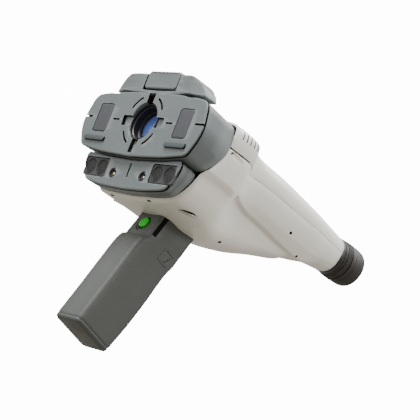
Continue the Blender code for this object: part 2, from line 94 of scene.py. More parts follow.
def makeStage(look):
    shape = bmesh.new()
    bmesh.ops.create_circle(shape, cap_ends=True, segments=96, radius=look["floorRadius"])
    mesh = bpy.data.meshes.new("floor")
    shape.to_mesh(mesh)
    shape.free()
    floor = bpy.data.objects.new("floor", mesh)
    bpy.context.scene.collection.objects.link(floor)
    floor.location.z = -0.0002
    material = bpy.data.materials.new("paleFloor")
    material.use_nodes = True
    nodes, links = material.node_tree.nodes, material.node_tree.links
    shader = nodes["Principled BSDF"]
    shader.inputs["Base Color"].default_value = (*look["floorColour"], 1)
    shader.inputs["Roughness"].default_value = 0.7
    # the floor is a one-way sheet: nothing of it shows from underneath
    back = nodes.new("ShaderNodeNewGeometry")
    clear = nodes.new("ShaderNodeBsdfTransparent")
    mix = nodes.new("ShaderNodeMixShader")
    links.new(back.outputs["Backfacing"], mix.inputs["Fac"])
    links.new(shader.outputs["BSDF"], mix.inputs[1])
    links.new(clear.outputs["BSDF"], mix.inputs[2])
    links.new(mix.outputs["Shader"], nodes["Material Output"].inputs["Surface"])
    mesh.materials.append(material)
    floor.visible_diffuse = False
    floor.visible_glossy = False
    floor.visible_transmission = False
    floor.visible_shadow = False

    world = bpy.data.worlds.new("studio")
    bpy.context.scene.world = world
    world.use_nodes = True
    nodes, links = world.node_tree.nodes, world.node_tree.links
    backdrop = nodes["Background"]
    backdrop.inputs["Color"].default_value = (*look["sky"], 1)
    backdrop.inputs["Strength"].default_value = look["backdrop"]
    # the room is white to look at, and gives softer light from above than from below
    room = nodes.new("ShaderNodeBackground")
    room.inputs["Strength"].default_value = look["ambient"]
    way = nodes.new("ShaderNodeTexCoord")
    split = nodes.new("ShaderNodeSeparateXYZ")
    ramp = nodes.new("ShaderNodeValToRGB")
    for element, key in zip(ramp.color_ramp.elements, ("roomBelow", "roomAbove")):
        element.position, element.color = look[key]
    lift = nodes.new("ShaderNodeMath")
    lift.operation = "MULTIPLY_ADD"
    lift.inputs[1].default_value = 0.5
    lift.inputs[2].default_value = 0.5
    path = nodes.new("ShaderNodeLightPath")
    mix = nodes.new("ShaderNodeMixShader")
    links.new(way.outputs["Generated"], split.inputs["Vector"])
    links.new(split.outputs["Z"], lift.inputs[0])
    links.new(lift.outputs["Value"], ramp.inputs["Fac"])
    links.new(ramp.outputs["Color"], room.inputs["Color"])
    links.new(path.outputs["Is Camera Ray"], mix.inputs["Fac"])
    links.new(room.outputs["Background"], mix.inputs[1])
    links.new(backdrop.outputs["Background"], mix.inputs[2])
    links.new(mix.outputs["Shader"], nodes["World Output"].inputs["Surface"])

    aim = Vector(look["aim"])
    for name, place, size, watts, colour in lights:
        data = bpy.data.lights.new(name, "AREA")
        data.shape = "DISK"
        data.size = size
        data.energy = watts
        data.color = colour
        lamp = bpy.data.objects.new(name, data)
        bpy.context.scene.collection.objects.link(lamp)
        lamp.location = place
        lamp.rotation_mode = "QUATERNION"
        lamp.rotation_quaternion = (aim - Vector(place)).to_track_quat("-Z", "Y")
        lamp.visible_camera = False


makeCamera(cameraView)
makeStage(stageLook)
print("camera, floor and lights are in place")


# finishes
def startMaterial(name):
    material = bpy.data.materials.new(name)
    material.use_nodes = True
    nodes, links = material.node_tree.nodes, material.node_tree.links
    place = nodes.new("ShaderNodeTexCoord")
    return material, nodes, links, nodes["Principled BSDF"], place.outputs["Object"]


def noiseAt(nodes, links, place, scale, detail=3.0, roughness=0.55, distortion=0.0):
    noise = nodes.new("ShaderNodeTexNoise")
    noise.inputs["Scale"].default_value = scale
    noise.inputs["Detail"].default_value = detail
    noise.inputs["Roughness"].default_value = roughness
    noise.inputs["Distortion"].default_value = distortion
    links.new(place, noise.inputs["Vector"])
    return noise.outputs["Fac"]


def spread(nodes, links, value, low, high, fromLow=0.3, fromHigh=0.7):
    span = nodes.new("ShaderNodeMapRange")
    span.inputs["From Min"].default_value = fromLow
    span.inputs["From Max"].default_value = fromHigh
    span.inputs["To Min"].default_value = low
    span.inputs["To Max"].default_value = high
    links.new(value, span.inputs["Value"])
    return span.outputs["Result"]


def blendColours(nodes, links, factor, one, two, kind="MIX"):
    mix = nodes.new("ShaderNodeMix")
    mix.data_type = "RGBA"
    mix.blend_type = kind
    links.new(factor, mix.inputs["Factor"])
    for socket, colour in ((mix.inputs["A"], one), (mix.inputs["B"], two)):
        if isinstance(colour, tuple):
            socket.default_value = (*colour, 1)
        else:
            links.new(colour, socket)
    return mix.outputs["Result"]


def twoTints(nodes, links, noise, look):
    return blendColours(nodes, links, spread(nodes, links, noise, 0, 1), look["colour"], look["shade"])


def edgeWear(nodes, links, amount):
    # convex edges are rubbed a little lighter
    geometry = nodes.new("ShaderNodeNewGeometry")
    return spread(nodes, links, geometry.outputs["Pointiness"], 0.0, amount, 0.51, 0.60)


def addBump(nodes, links, shader, height, strength, distance, below=None):
    bump = nodes.new("ShaderNodeBump")
    bump.inputs["Strength"].default_value = strength
    bump.inputs["Distance"].default_value = distance
    links.new(height, bump.inputs["Height"])
    if below is not None:
        links.new(below, bump.inputs["Normal"])
    links.new(bump.outputs["Normal"], shader.inputs["Normal"])
    return bump.outputs["Normal"]


def mouldedPlastic(name, look):
    # moulded plastic: cloudy colour, spark-eroded grain, handling wear on its edges
    material, nodes, links, shader, place = startMaterial(name)
    cloud = noiseAt(nodes, links, place, look.get("cloudScale", 26.0), 4.0, 0.6)
    tint = twoTints(nodes, links, cloud, look)
    speckle = noiseAt(nodes, links, place, look.get("speckleScale", 1900.0), 2.0, 0.5)
    tint = blendColours(nodes, links, spread(nodes, links, speckle, 0.0, look.get("speckle", 0.10), 0.45, 0.75), tint,
                        look["light"])
    tint = blendColours(nodes, links, edgeWear(nodes, links, look.get("wear", 0.35)), tint, look["light"])
    links.new(tint, shader.inputs["Base Color"])
    smudge = noiseAt(nodes, links, place, 60.0, 5.0, 0.62, 0.4)
    links.new(spread(nodes, links, smudge, look["roughness"] - look.get("roughSpread", 0.07),
                     look["roughness"] + look.get("roughSpread", 0.07)), shader.inputs["Roughness"])
    grain = noiseAt(nodes, links, place, look.get("grainScale", 1500.0), 2.0, 0.6)
    soft = noiseAt(nodes, links, place, 90.0, 2.0, 0.5)
    normal = addBump(nodes, links, shader, soft, look.get("wave", 0.06), 0.0006)
    addBump(nodes, links, shader, grain, look.get("grain", 0.12), 0.00012, normal)
    shader.inputs["Specular IOR Level"].default_value = look.get("specular", 0.5)
    if look.get("coat"):
        shader.inputs["Coat Weight"].default_value = look["coat"]
        shader.inputs["Coat Roughness"].default_value = look.get("coatRoughness", 0.2)
    return material


def metalFinish(name, look):
    # bare metal: streaks from machining, spots of dullness
    material, nodes, links, shader, place = startMaterial(name)
    stretch = nodes.new("ShaderNodeMapping")
    stretch.inputs["Scale"].default_value = look.get("stretch", (1.0, 12.0, 1.0))
    links.new(place, stretch.inputs["Vector"])
    streak = noiseAt(nodes, links, stretch.outputs["Vector"], look.get("scale", 420.0), 4.0, 0.6)
    cloud = noiseAt(nodes, links, place, 120.0, 3.0, 0.5)
    tint = twoTints(nodes, links, cloud, look)
    links.new(tint, shader.inputs["Base Color"])
    shader.inputs["Metallic"].default_value = 1.0
    links.new(spread(nodes, links, streak, look["roughness"] - 0.08, look["roughness"] + 0.10),
              shader.inputs["Roughness"])
    addBump(nodes, links, shader, streak, look.get("grain", 0.15), 0.00008)
    return material


def lensFinish(name, look):
    # coated glass seen as a dark, glossy body; its tint drifts across it, and on the blue lens that tint is the
    # coating's blue reflection, painted into the base colour
    material, nodes, links, shader, place = startMaterial(name)
    drift = noiseAt(nodes, links, place, look.get("scale", 55.0), 2.0, 0.5)
    links.new(twoTints(nodes, links, drift, look), shader.inputs["Base Color"])
    dust = noiseAt(nodes, links, place, 2600.0, 2.0, 0.5)
    links.new(spread(nodes, links, dust, look["roughness"], look["roughness"] + 0.06, 0.45, 0.75),
              shader.inputs["Roughness"])
    shader.inputs["Specular IOR Level"].default_value = 0.6
    shader.inputs["Coat Weight"].default_value = 0.6
    shader.inputs["Coat Roughness"].default_value = 0.03
    return material


def meshCloth(name, look):
    # fine black grille: closely set pin holes
    material, nodes, links, shader, place = startMaterial(name)
    cells = nodes.new("ShaderNodeTexVoronoi")
    cells.inputs["Scale"].default_value = look["holes"]
    cells.inputs["Randomness"].default_value = 0.35
    links.new(place, cells.inputs["Vector"])
    holes = spread(nodes, links, cells.outputs["Distance"], 0, 1, 0.28, 0.46)
    links.new(blendColours(nodes, links, holes, look["shade"], look["colour"]), shader.inputs["Base Color"])
    shader.inputs["Roughness"].default_value = look["roughness"]
    addBump(nodes, links, shader, holes, 0.6, 0.0002)
    return material


def boardFinish(name, look):
    # circuit board: solder resist with faint tracks
    material, nodes, links, shader, place = startMaterial(name)
    tracks = nodes.new("ShaderNodeTexBrick")
    tracks.inputs["Scale"].default_value = 260.0
    tracks.inputs["Mortar Size"].default_value = 0.03
    links.new(place, tracks.inputs["Vector"])
    links.new(blendColours(nodes, links, tracks.outputs["Fac"], look["colour"], look["shade"]),
              shader.inputs["Base Color"])
    shader.inputs["Roughness"].default_value = 0.4
    addBump(nodes, links, shader, tracks.outputs["Fac"], 0.2, 0.0001)
    return material


def litLamp(name, look):
    # the tiny lamp behind its lens: a warm point
    material, nodes, links, shader, place = startMaterial(name)
    grain = noiseAt(nodes, links, place, 900.0, 2.0, 0.5)
    links.new(twoTints(nodes, links, grain, look), shader.inputs["Base Color"])
    shader.inputs["Roughness"].default_value = 0.25
    shader.inputs["Emission Color"].default_value = (1.0, 0.93, 0.80, 1)
    shader.inputs["Emission Strength"].default_value = look["glow"]
    return material


finishes = {
    "coverGrey": mouldedPlastic("coverGrey", {
        "colour": (0.130, 0.150, 0.153), "shade": (0.118, 0.137, 0.141), "light": (0.24, 0.27, 0.275),
        "roughness": 0.46, "grain": 0.16, "wear": 0.45}),
    "gripGrey": mouldedPlastic("gripGrey", {
        "colour": (0.070, 0.075, 0.070), "shade": (0.062, 0.067, 0.062), "light": (0.13, 0.14, 0.135),
        "roughness": 0.50, "grain": 0.20, "wear": 0.35}),
    "ivory": mouldedPlastic("ivory", {
        "colour": (0.88, 0.855, 0.785), "shade": (0.865, 0.835, 0.76), "light": (0.93, 0.915, 0.87),
        "roughness": 0.36, "grain": 0.05, "wave": 0.03, "speckle": 0.05, "wear": 0.25, "coat": 0.15}),
    "padGrey": mouldedPlastic("padGrey", {
        "colour": (0.056, 0.060, 0.068), "shade": (0.049, 0.053, 0.061), "light": (0.10, 0.105, 0.115),
        "roughness": 0.62, "grain": 0.30, "wear": 0.15}),
    "barGrey": mouldedPlastic("barGrey", {
        "colour": (0.058, 0.074, 0.079), "shade": (0.050, 0.064, 0.070), "light": (0.11, 0.13, 0.14),
        "roughness": 0.55, "grain": 0.22, "wear": 0.12}),
    "blackPlastic": mouldedPlastic("blackPlastic", {
        "colour": (0.012, 0.012, 0.013), "shade": (0.009, 0.009, 0.010), "light": (0.05, 0.05, 0.05),
        "roughness": 0.38, "grain": 0.10, "wear": 0.20, "speckle": 0.04}),
    # painted shade: a near-black, dull finish for the walls and floors of grooves, slots, holes and gaps, where shade
    # falls
    "paintedShadeBlack": mouldedPlastic("paintedShadeBlack", {
        "colour": (0.006, 0.006, 0.007), "shade": (0.005, 0.005, 0.005), "light": (0.02, 0.02, 0.02),
        "roughness": 0.85, "grain": 0.10, "wear": 0.0, "speckle": 0.02, "specular": 0.15}),
    "eyeRubber": mouldedPlastic("eyeRubber", {
        "colour": (0.030, 0.026, 0.023), "shade": (0.022, 0.019, 0.017), "light": (0.07, 0.062, 0.055),
        "roughness": 0.58, "grain": 0.30, "wear": 0.25, "roughSpread": 0.10}),
    "sensorPlate": mouldedPlastic("sensorPlate", {
        "colour": (0.036, 0.039, 0.042), "shade": (0.029, 0.032, 0.034), "light": (0.11, 0.12, 0.12),
        "roughness": 0.30, "grain": 0.06, "wear": 0.2}),
    "buttonGreen": mouldedPlastic("buttonGreen", {
        "colour": (0.002, 0.52, 0.006), "shade": (0.002, 0.45, 0.006), "light": (0.03, 0.75, 0.05),
        "roughness": 0.34, "grain": 0.08, "wear": 0.2, "speckle": 0.05}),
    "batteryWrap": mouldedPlastic("batteryWrap", {
        "colour": (0.045, 0.055, 0.085), "shade": (0.035, 0.043, 0.070), "light": (0.12, 0.13, 0.16),
        "roughness": 0.40, "grain": 0.08, "wear": 0.4}),
    "steel": metalFinish("steel", {"colour": (0.62, 0.60, 0.57), "shade": (0.50, 0.49, 0.47), "roughness": 0.26}),
    "aluminium": metalFinish("aluminium", {"colour": (0.72, 0.73, 0.74), "shade": (0.62, 0.63, 0.65),
                                           "roughness": 0.38}),
    "brass": metalFinish("brass", {"colour": (0.72, 0.53, 0.22), "shade": (0.60, 0.43, 0.16), "roughness": 0.32}),
    "lampBrass": metalFinish("lampBrass", {"colour": (0.20, 0.14, 0.05), "shade": (0.13, 0.09, 0.035),
                                           "roughness": 0.42}),
    # painted reflection: the lens's blue base colour stands in for its coating's blue reflection
    "paintedReflectionLens": lensFinish("paintedReflectionLens", {"colour": (0.055, 0.095, 0.30), "shade": (0.075, 0.120, 0.34),
                                            "roughness": 0.06}),
    "darkLens": lensFinish("darkLens", {"colour": (0.012, 0.014, 0.022), "shade": (0.020, 0.022, 0.035),
                                        "roughness": 0.05}),
    "sensorMesh": meshCloth("sensorMesh", {"colour": (0.008, 0.0075, 0.007), "shade": (0.003, 0.003, 0.003),
                                           "holes": 1150.0, "roughness": 0.55}),
    "board": boardFinish("board", {"colour": (0.02, 0.15, 0.07), "shade": (0.05, 0.26, 0.12)}),
    "lampGlow": litLamp("lampGlow", {"colour": (0.95, 0.90, 0.80), "shade": (0.85, 0.78, 0.66), "glow": 1.2}),
}
print("finishes are made")


# modelling helpers
def newPiece(name, mesh):
    piece = bpy.data.objects.new(name, mesh)
    pieceCollection.objects.link(piece)
    return piece


def meshOf(name, build):
    shape = bmesh.new()
    build(shape)
    mesh = bpy.data.meshes.new(name)
    shape.to_mesh(mesh)
    shape.free()
    return mesh


def faceOut(mesh):
    shape = bmesh.new()
    shape.from_mesh(mesh)
    bmesh.ops.remove_doubles(shape, verts=shape.verts, dist=0.000002)
    bmesh.ops.recalc_face_normals(shape, faces=shape.faces)
    if shape.calc_volume(signed=True) < 0:
        bmesh.ops.reverse_faces(shape, faces=shape.faces)
    shape.to_mesh(mesh)
    shape.free()


def ringLoft(name, rings, around=True, capped=True, joined=False):
    # skins a list of rings; joined closes the last ring on to the first, as round a torus
    def build(shape):
        grid = [[shape.verts.new(point) for point in ring] for ring in rings]
        pairs = list(zip(grid, grid[1:])) + ([(grid[-1], grid[0])] if joined else [])
        count = len(rings[0])
        for one, two in pairs:
            for i in range(count if around else count - 1):
                j = (i + 1) % count
                shape.faces.new((one[i], one[j], two[j], two[i]))
        if capped and not joined:
            shape.faces.new(grid[0])
            shape.faces.new(list(reversed(grid[-1])))
    return meshOf(name, build)


def loftPiece(name, rings, **how):
    mesh = ringLoft(name, rings, **how)
    faceOut(mesh)
    return newPiece(name, mesh)


def giveFinishes(piece, keys):
    for key in keys:
        piece.data.materials.append(finishes[key])
    return piece


def applyStack(piece):
    bpy.context.view_layer.update()
    graph = bpy.context.evaluated_depsgraph_get()
    mesh = bpy.data.meshes.new_from_object(piece.evaluated_get(graph))
    piece.modifiers.clear()
    piece.data = mesh
    return piece


def cutAway(piece, cutters, operation="DIFFERENCE"):
    for cutter in cutters:
        boolean = piece.modifiers.new("cut", "BOOLEAN")
        boolean.operation = operation
        boolean.solver = "EXACT"
        boolean.material_mode = "TRANSFER"
        boolean.object = cutter
    applyStack(piece)
    for cutter in cutters:
        bpy.data.objects.remove(cutter)
    return piece


def blackBody(cutter, keys=("ivory", "paintedShadeBlack"), index=1):
    # with the default index the cutter's faces, and so the walls the cut leaves, are painted shade
    giveFinishes(cutter, keys)
    for face in cutter.data.polygons:
        face.material_index = index
    return cutter


def roundEdges(piece, width, segments=2, angle=35.0):
    bevel = piece.modifiers.new("edges", "BEVEL")
    bevel.width = width
    bevel.segments = segments
    bevel.limit_method = "ANGLE"
    bevel.angle_limit = math.radians(angle)
    bevel.use_clamp_overlap = True
    bevel.miter_outer = "MITER_ARC"
    return applyStack(piece)


def thicken(piece, wall, outwardsAt):
    # turns an open skin's faces outwards, then gives it a wall on its inner side
    shape = bmesh.new()
    shape.from_mesh(piece.data)
    bmesh.ops.recalc_face_normals(shape, faces=shape.faces)
    votes = sum(1 if face.normal.dot(outwardsAt(face.calc_center_median())) > 0 else -1 for face in shape.faces)
    if votes < 0:
        bmesh.ops.reverse_faces(shape, faces=shape.faces)
    shape.to_mesh(piece.data)
    shape.free()
    solid = piece.modifiers.new("wall", "SOLIDIFY")
    solid.thickness = wall * mm
    solid.offset = -1
    applyStack(piece)
    faceOut(piece.data)
    return piece


def shade(piece, angle=35.0):
    piece.data.shade_smooth()
    piece.data.set_sharp_from_angle(angle=math.radians(angle))
    return piece


def settle(piece, where, body, finish, standsFor=(), extraFinishes=()):
    # the place goes into the mesh, then the piece gets its finish and rides on its body
    piece.data.transform(where)
    faceFinish = [face.material_index for face in piece.data.polygons]
    piece.data.materials.clear()
    giveFinishes(piece, (finish, *extraFinishes))
    if extraFinishes:
        piece.data.polygons.foreach_set("material_index", faceFinish)
    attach(piece, body)
    if standsFor:
        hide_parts(*standsFor)
    return piece


def stadium(width, height, arcSteps=10):
    # a flat outline with full round ends, longer way first
    radius = height / 2
    points = []
    for side, start in ((1, -90), (-1, 90)):
        for step in range(arcSteps + 1):
            turn = math.radians(start + 180 * step / arcSteps)
            points.append((side * (width / 2 - radius) + radius * math.cos(turn), radius * math.sin(turn)))
    return points


def roundedBox(width, height, radius, arcSteps=5):
    points = []
    for cornerX, cornerY, start in ((1, 1, 0), (-1, 1, 90), (-1, -1, 180), (1, -1, 270)):
        for step in range(arcSteps + 1):
            turn = math.radians(start + 90 * step / arcSteps)
            points.append((cornerX * (width / 2 - radius) + radius * math.cos(turn),
                           cornerY * (height / 2 - radius) + radius * math.sin(turn)))
    return points


def moved(outline, x, z, turn=0.0):
    c, s = math.cos(turn), math.sin(turn)
    return [(x + c * a - s * b, z + s * a + c * b) for a, b in outline]


def roundedPath(points, trims, steps=4, closed=False):
    # each corner gives way to a short curve that starts and ends its trim away from it
    points = [Vector(point) for point in points]
    count = len(points)
    path = []
    for i, (point, trim) in enumerate(zip(points, trims)):
        if not closed and i in (0, count - 1):
            path.append(point)
            continue
        before, after = points[i - 1] - point, points[(i + 1) % count] - point
        start = point + before.normalized() * min(trim, before.length * 0.48)
        end = point + after.normalized() * min(trim, after.length * 0.48)
        for step in range(steps + 1):
            t = step / steps
            path.append(start * (1 - t) ** 2 + point * 2 * t * (1 - t) + end * t ** 2)
    return path


def spun(name, profile, steps=64):
    # a turned piece about +Y from (radius, distance) pairs, outer side from its far end back; Screw closes the profile
    points = [(radius * mm, 0, along * mm) for radius, along in profile]
    mesh = bpy.data.meshes.new(name)
    mesh.from_pydata(points, [(i, (i + 1) % len(points)) for i in range(len(points))], [])
    piece = newPiece(name, mesh)
    screw = piece.modifiers.new("turn", "SCREW")
    screw.steps = steps
    screw.render_steps = steps
    screw.use_merge_vertices = True
    screw.merge_threshold = 0.000002
    applyStack(piece)
    piece.data.transform(alongAxis)
    faceOut(piece.data)
    return piece


def box(name, size, at, radius=0.0, segments=2):
    def build(shape):
        bmesh.ops.create_cube(shape, size=1.0)
        bmesh.ops.scale(shape, vec=size, verts=shape.verts)
        bmesh.ops.translate(shape, vec=at, verts=shape.verts)
    piece = newPiece(name, meshOf(name, build))
    if radius:
        roundEdges(piece, radius, segments)
    return piece


# face plate and its covers, in the head's frame; outlines are in millimetres
plate = {
    "hollow": 0.215,          # forward rise per square metre of half width
    "drawIn": 3.3,            # side walls draw in by this share of x per metre back
    "count": 288,
    "wall": 4.4 * mm,
    "window": 17.5 * mm,
    # right half from the top middle round to the bottom middle: x, z, trim of the corner
    "upperOutline": [(0, 26.5, 0), (30, 26.1, 6), (44.5, 25.2, 3), (49.5, 23.9, 3), (55, 23.7, 3), (59, 24.2, 3),
                     (74.8, 21.9, 4.5), (79.6, 17.6, 4.0), (84.7, -2.0, 6), (83.0, -12.5, 7), (75.5, -27.6, 4.5),
                     (45, -31.2, 8), (0, -33, 0)],
    "lowerOutline": [(0, -33.6, 0), (40, -32.4, 8), (66.2, -29.8, 2), (69.2, -33.0, 3), (68.6, -40.5, 5),
                     (60.2, -55.6, 5.0), (53, -57.4, 5), (30, -59.4, 8), (0, -60.2, 0)],
    "lowerStep": 5.6 * mm,
    "groove": (1.35, 1.9, 1.5),   # the rim's groove: start behind the front, width, depth
    "flatRows": (0.03, 0.1, 0.2, 0.32, 0.45, 0.58, 0.7, 0.8, 0.88, 0.94, 0.98),
    "rimRounding": ((0.75, 0.10), (0.32, 0.34), (0.07, 0.75)),
    "wallRows": (0.15, 0.4, 0.7, 1.0),
}


def plateFront(x, z):
    return -plate["hollow"] * x * x - z * math.tan(plateTilt)


def seamBack(z):
    if z > 0.005:
        return 0.0427
    if z > -0.027:
        return 0.0427 - 11.8 * (0.005 - z) ** 2
    return 0.0306 + 0.217 * (z + 0.027)


def closedOutline(half):
    # mirrors a right half (x, z, trim) and rounds its corners
    left = [(-x, z, trim) for x, z, trim in reversed(half) if x > 0]
    whole = [(x, 0, z) for x, z, _ in half] + [(x, 0, z) for x, z, _ in left]
    trims = [max(trim, 4) for _, _, trim in half[:1]] + [trim for _, _, trim in half[1:-1]] + [4] \
        + [trim for _, _, trim in left]
    path = roundedPath(whole, trims, 6, closed=True)
    return [(point.x * mm, point.z * mm) for point in path]


def resample(outline, centre, count):
    # points where rays at even angles leave the outline
    cx, cz = centre
    result = []
    for step in range(count):
        angle = 2 * math.pi * step / count
        dx, dz = math.cos(angle), math.sin(angle)
        best = 0.0
        for (ax, az), (bx, bz) in zip(outline, outline[1:] + outline[:1]):
            ex, ez = bx - ax, bz - az
            det = dx * -ez + dz * ex
            if abs(det) < 1e-15:
                continue
            px, pz = ax - cx, az - cz
            far = (px * -ez + pz * ex) / det
            along = (dx * pz - dz * px) / det
            if -1e-9 <= along <= 1 + 1e-9 and far > best:
                best = far
        result.append((cx + dx * best, cz + dz * best))
    return result


def inwards(ring, distance):
    # the ring moved in along its own normals
    count = len(ring)
    result = []
    for i, (x, z) in enumerate(ring):
        (ax, az), (bx, bz) = ring[i - 2], ring[(i + 2) % count]
        tx, tz = bx - ax, bz - az
        length = math.hypot(tx, tz) or 1.0
        result.append((x - tz / length * distance, z + tx / length * distance))
    return result


def coverPiece(name, half, centre, centreRing, frontStep, innerRadius, wallBack):
    outline = resample(closedOutline(half), centre, plate["count"])
    start, width, depth = (value * mm for value in plate["groove"])
    middle = [(centre[0] + innerRadius * math.cos(2 * math.pi * i / plate["count"]),
               centre[1] + innerRadius * math.sin(2 * math.pi * i / plate["count"])) for i in range(plate["count"])]

    def front(ring, back):
        return [(x, plateFront(x, z) + frontStep + back, z) for x, z in ring]

    def between(inner, outer, t):
        return [(ax + (bx - ax) * t, az + (bz - az) * t) for (ax, az), (bx, bz) in zip(inner, outer)]

    rim = inwards(outline, 1.3 * mm)
    rings = []
    if centreRing:
        rings += [front(middle, plate["wall"]), front(middle, 0.45 * mm),
                  front(between(middle, rim, 0.012), 0.12 * mm)]
    rings += [front(between(middle, rim, t), 0) for t in plate["flatRows"]] + [front(rim, 0)]
    rings += [front(inwards(outline, shrink * mm), back * mm) for shrink, back in plate["rimRounding"]]
    rings += [front(outline, 1.2 * mm), front(outline, start)]
    rings += [front(inwards(outline, depth * 0.8), start + 0.15 * mm), front(inwards(outline, depth), start + 0.5 * mm),
              front(inwards(outline, depth), start + width - 0.5 * mm),
              front(inwards(outline, depth * 0.55), start + width),
              front(inwards(outline, 0.15 * mm), start + width + 0.5 * mm)]
    for t in plate["wallRows"]:
        rings.append([(x, y + (seamBack(z) + wallBack - y) * t, z)
                      for x, y, z in front(inwards(outline, 0.05 * mm), start + width + 1.0 * mm)])
    inner = inwards(outline, plate["wall"])
    rings.append([(x, seamBack(z) + wallBack, z) for x, z in inner])
    rings.append(front(inwards(outline, plate["wall"] + 0.4 * mm), plate["wall"] + 0.2 * mm))
    if centreRing:
        rings.append(front(between(middle, rim, 0.5), plate["wall"]))
    rings = [[(x * (1 - plate["drawIn"] * max(y, 0.0)), y, z) for x, y, z in ring] for ring in rings]
    mesh = ringLoft(name, rings, joined=centreRing)
    # the groove's own rows are painted shade, near black
    first = len(rings) - (12 if centreRing else 11)
    for face in mesh.polygons[first * plate["count"]:(first + 4) * plate["count"]]:
        face.material_index = 1
    faceOut(mesh)
    return newPiece(name, mesh)


def plateCutter(outline, depth, finishesUsed=2, frontStep=0.0, proud=4 * mm):
    # a prism through the plate's front; its walls are painted shade, and its floor gets the finish that finishesUsed
    # picks, painted shade too when that is 1
    def build(shape):
        near = [shape.verts.new((x, plateFront(x, z) + frontStep - proud, z)) for x, z in outline]
        far = [shape.verts.new((x, plateFront(x, z) + frontStep + depth, z)) for x, z in outline]
        count = len(outline)
        for i in range(count):
            j = (i + 1) % count
            shape.faces.new((near[i], near[j], far[j], far[i])).material_index = 1
        shape.faces.new(list(reversed(near))).material_index = 1
        shape.faces.new(far).material_index = finishesUsed
    cutter = newPiece("cutter", meshOf("cutter", build))
    shape = bmesh.new()
    shape.from_mesh(cutter.data)
    bmesh.ops.recalc_face_normals(shape, faces=shape.faces)
    shape.to_mesh(cutter.data)
    shape.free()
    return giveFinishes(cutter, ("coverGrey", "paintedShadeBlack", "coverGrey"))


def scaled(outline, factor=mm):
    return [(x * factor, z * factor) for x, z in outline]


def arcBand(radius, width, fromDegrees, toDegrees, steps=12):
    outer, inner = [], []
    for step in range(steps + 1):
        turn = math.radians(fromDegrees + (toDegrees - fromDegrees) * step / steps)
        outer.append(((radius + width / 2) * math.cos(turn), (radius + width / 2) * math.sin(turn)))
        inner.append(((radius - width / 2) * math.cos(turn), (radius - width / 2) * math.sin(turn)))
    return outer + inner[::-1]


def coverLevels(outline, levels):
    # rings that follow the plate's hollow: how far each one shrinks, and how far it lies behind the front
    return [[(x, plateFront(x, z) + lift * mm, z) for x, z in inwards(outline, shrink * mm)]
            for shrink, lift in levels]


frontCover = {
    "arcRadius": 23.6, "arcWidth": 2.1, "arcHalfAngle": 18.0, "arcDepth": 1.6,
    "padPocket": (19.3, 27.1, 2.7, 1.2), "padCentre": 56.8,
    "armReach": (16.0, 29.0), "armHeights": (-5.4, 4.0), "floor": 3.3 * mm,
    "topSlot": [(-4.1, 14), (4.1, 14), (4.7, 30), (-4.7, 30)], "bottomSlot": (-4.2, 4.2, -29.4, -15),
    "sideNotch": (73.0, 92.0, 0.95, 2.2), "mark": (37.6, -0.5, 9.8, 1.6),
    "markDepth": 1.2, "topSlotDepth": 6.0,
}


def makeFrontCover(look):
    cover = coverPiece("frontCover", plate["upperOutline"], (0, 0), True, 0.0, plate["window"], 0.0)
    giveFinishes(cover, ("coverGrey", "paintedShadeBlack"))
    floor = look["floor"]
    # every cut's walls are painted shade; the top slot, side notches, marks, pad pockets and arcs have floors painted
    # shade too, the bottom slot and arms a grey floor
    cutters = [plateCutter(scaled(look["topSlot"]), look["topSlotDepth"] * mm, 1)]
    left, right, low, high = look["bottomSlot"]
    cutters.append(plateCutter(scaled([(left, high), (left - 0.3, low), (right - 0.3, low), (right, high)]), floor))
    near, far = look["armReach"]
    low, high = look["armHeights"]
    for side in (-1, 1):
        arm = [(side * near, low), (side * near, high), (side * (far - 1.5), high), (side * far, high - 1.5),
               (side * (far - 1.0), low)]
        cutters.append(plateCutter(scaled(arm), floor))
        start, end, half, depth = look["sideNotch"]
        notch = [(side * start, half), (side * end, half), (side * end, -half), (side * start, -half)]
        cutters.append(plateCutter(scaled(notch), depth * mm, 1))
        x, z, width, height = look["mark"]
        mark = moved(stadium(width, height, 4), side * x, z)
        cutters.append(plateCutter(scaled(mark), look["markDepth"] * mm, 1))
        width, height, radius, depth = look["padPocket"]
        pocket = moved(roundedBox(width, height, radius), side * look["padCentre"], 0)
        cutters.append(plateCutter(scaled(pocket), depth * mm, 1))
    for middle in (45, 135, 225, 315):
        band = arcBand(look["arcRadius"], look["arcWidth"], middle - look["arcHalfAngle"],
                       middle + look["arcHalfAngle"])
        cutters.append(plateCutter(scaled(band), look["arcDepth"] * mm, 1))
    cutAway(cover, cutters)
    roundEdges(cover, 0.22 * mm, 2, 40)
    shade(cover, 30)
    return settle(cover, headFrame, "head", "coverGrey", ("front_cover",), ("paintedShadeBlack",))


makeFrontCover(frontCover)
print("front cover is made")

raisedBars = {"centre": 57.5, "width": 29.0, "height": 4.7, "z": -20.0, "proud": 2.05}


def makeRaisedBar(side, look):
    # a rounded bar that stands proud of the cover: slate on top, and painted shade, black, round its foot
    outline = moved(stadium(look["width"], look["height"], 10), side * look["centre"], look["z"])
    levels = [(0.0, 0.6), (0.0, -1.55), (0.12, -1.75), (0.45, -1.95), (0.95, -look["proud"])]
    mesh = ringLoft("raisedBar", coverLevels(scaled(outline), levels))
    faceOut(mesh)
    # faces near the plate, the bar's sides, are painted shade
    for face in mesh.polygons:
        x, y, z = face.center
        face.material_index = 1 if y - plateFront(x, z) > -1.6 * mm else 0
    piece = newPiece("leftRaisedBar" if side < 0 else "rightRaisedBar", mesh)
    mesh.materials.append(finishes["barGrey"])
    mesh.materials.append(finishes["paintedShadeBlack"])
    return settle(shade(piece, 45), headFrame, "head", "barGrey", (), ("paintedShadeBlack",))


facePad = {"width": 18.1, "height": 25.9, "radius": 2.2, "centre": 56.8, "proud": 0.05, "deep": 1.0}


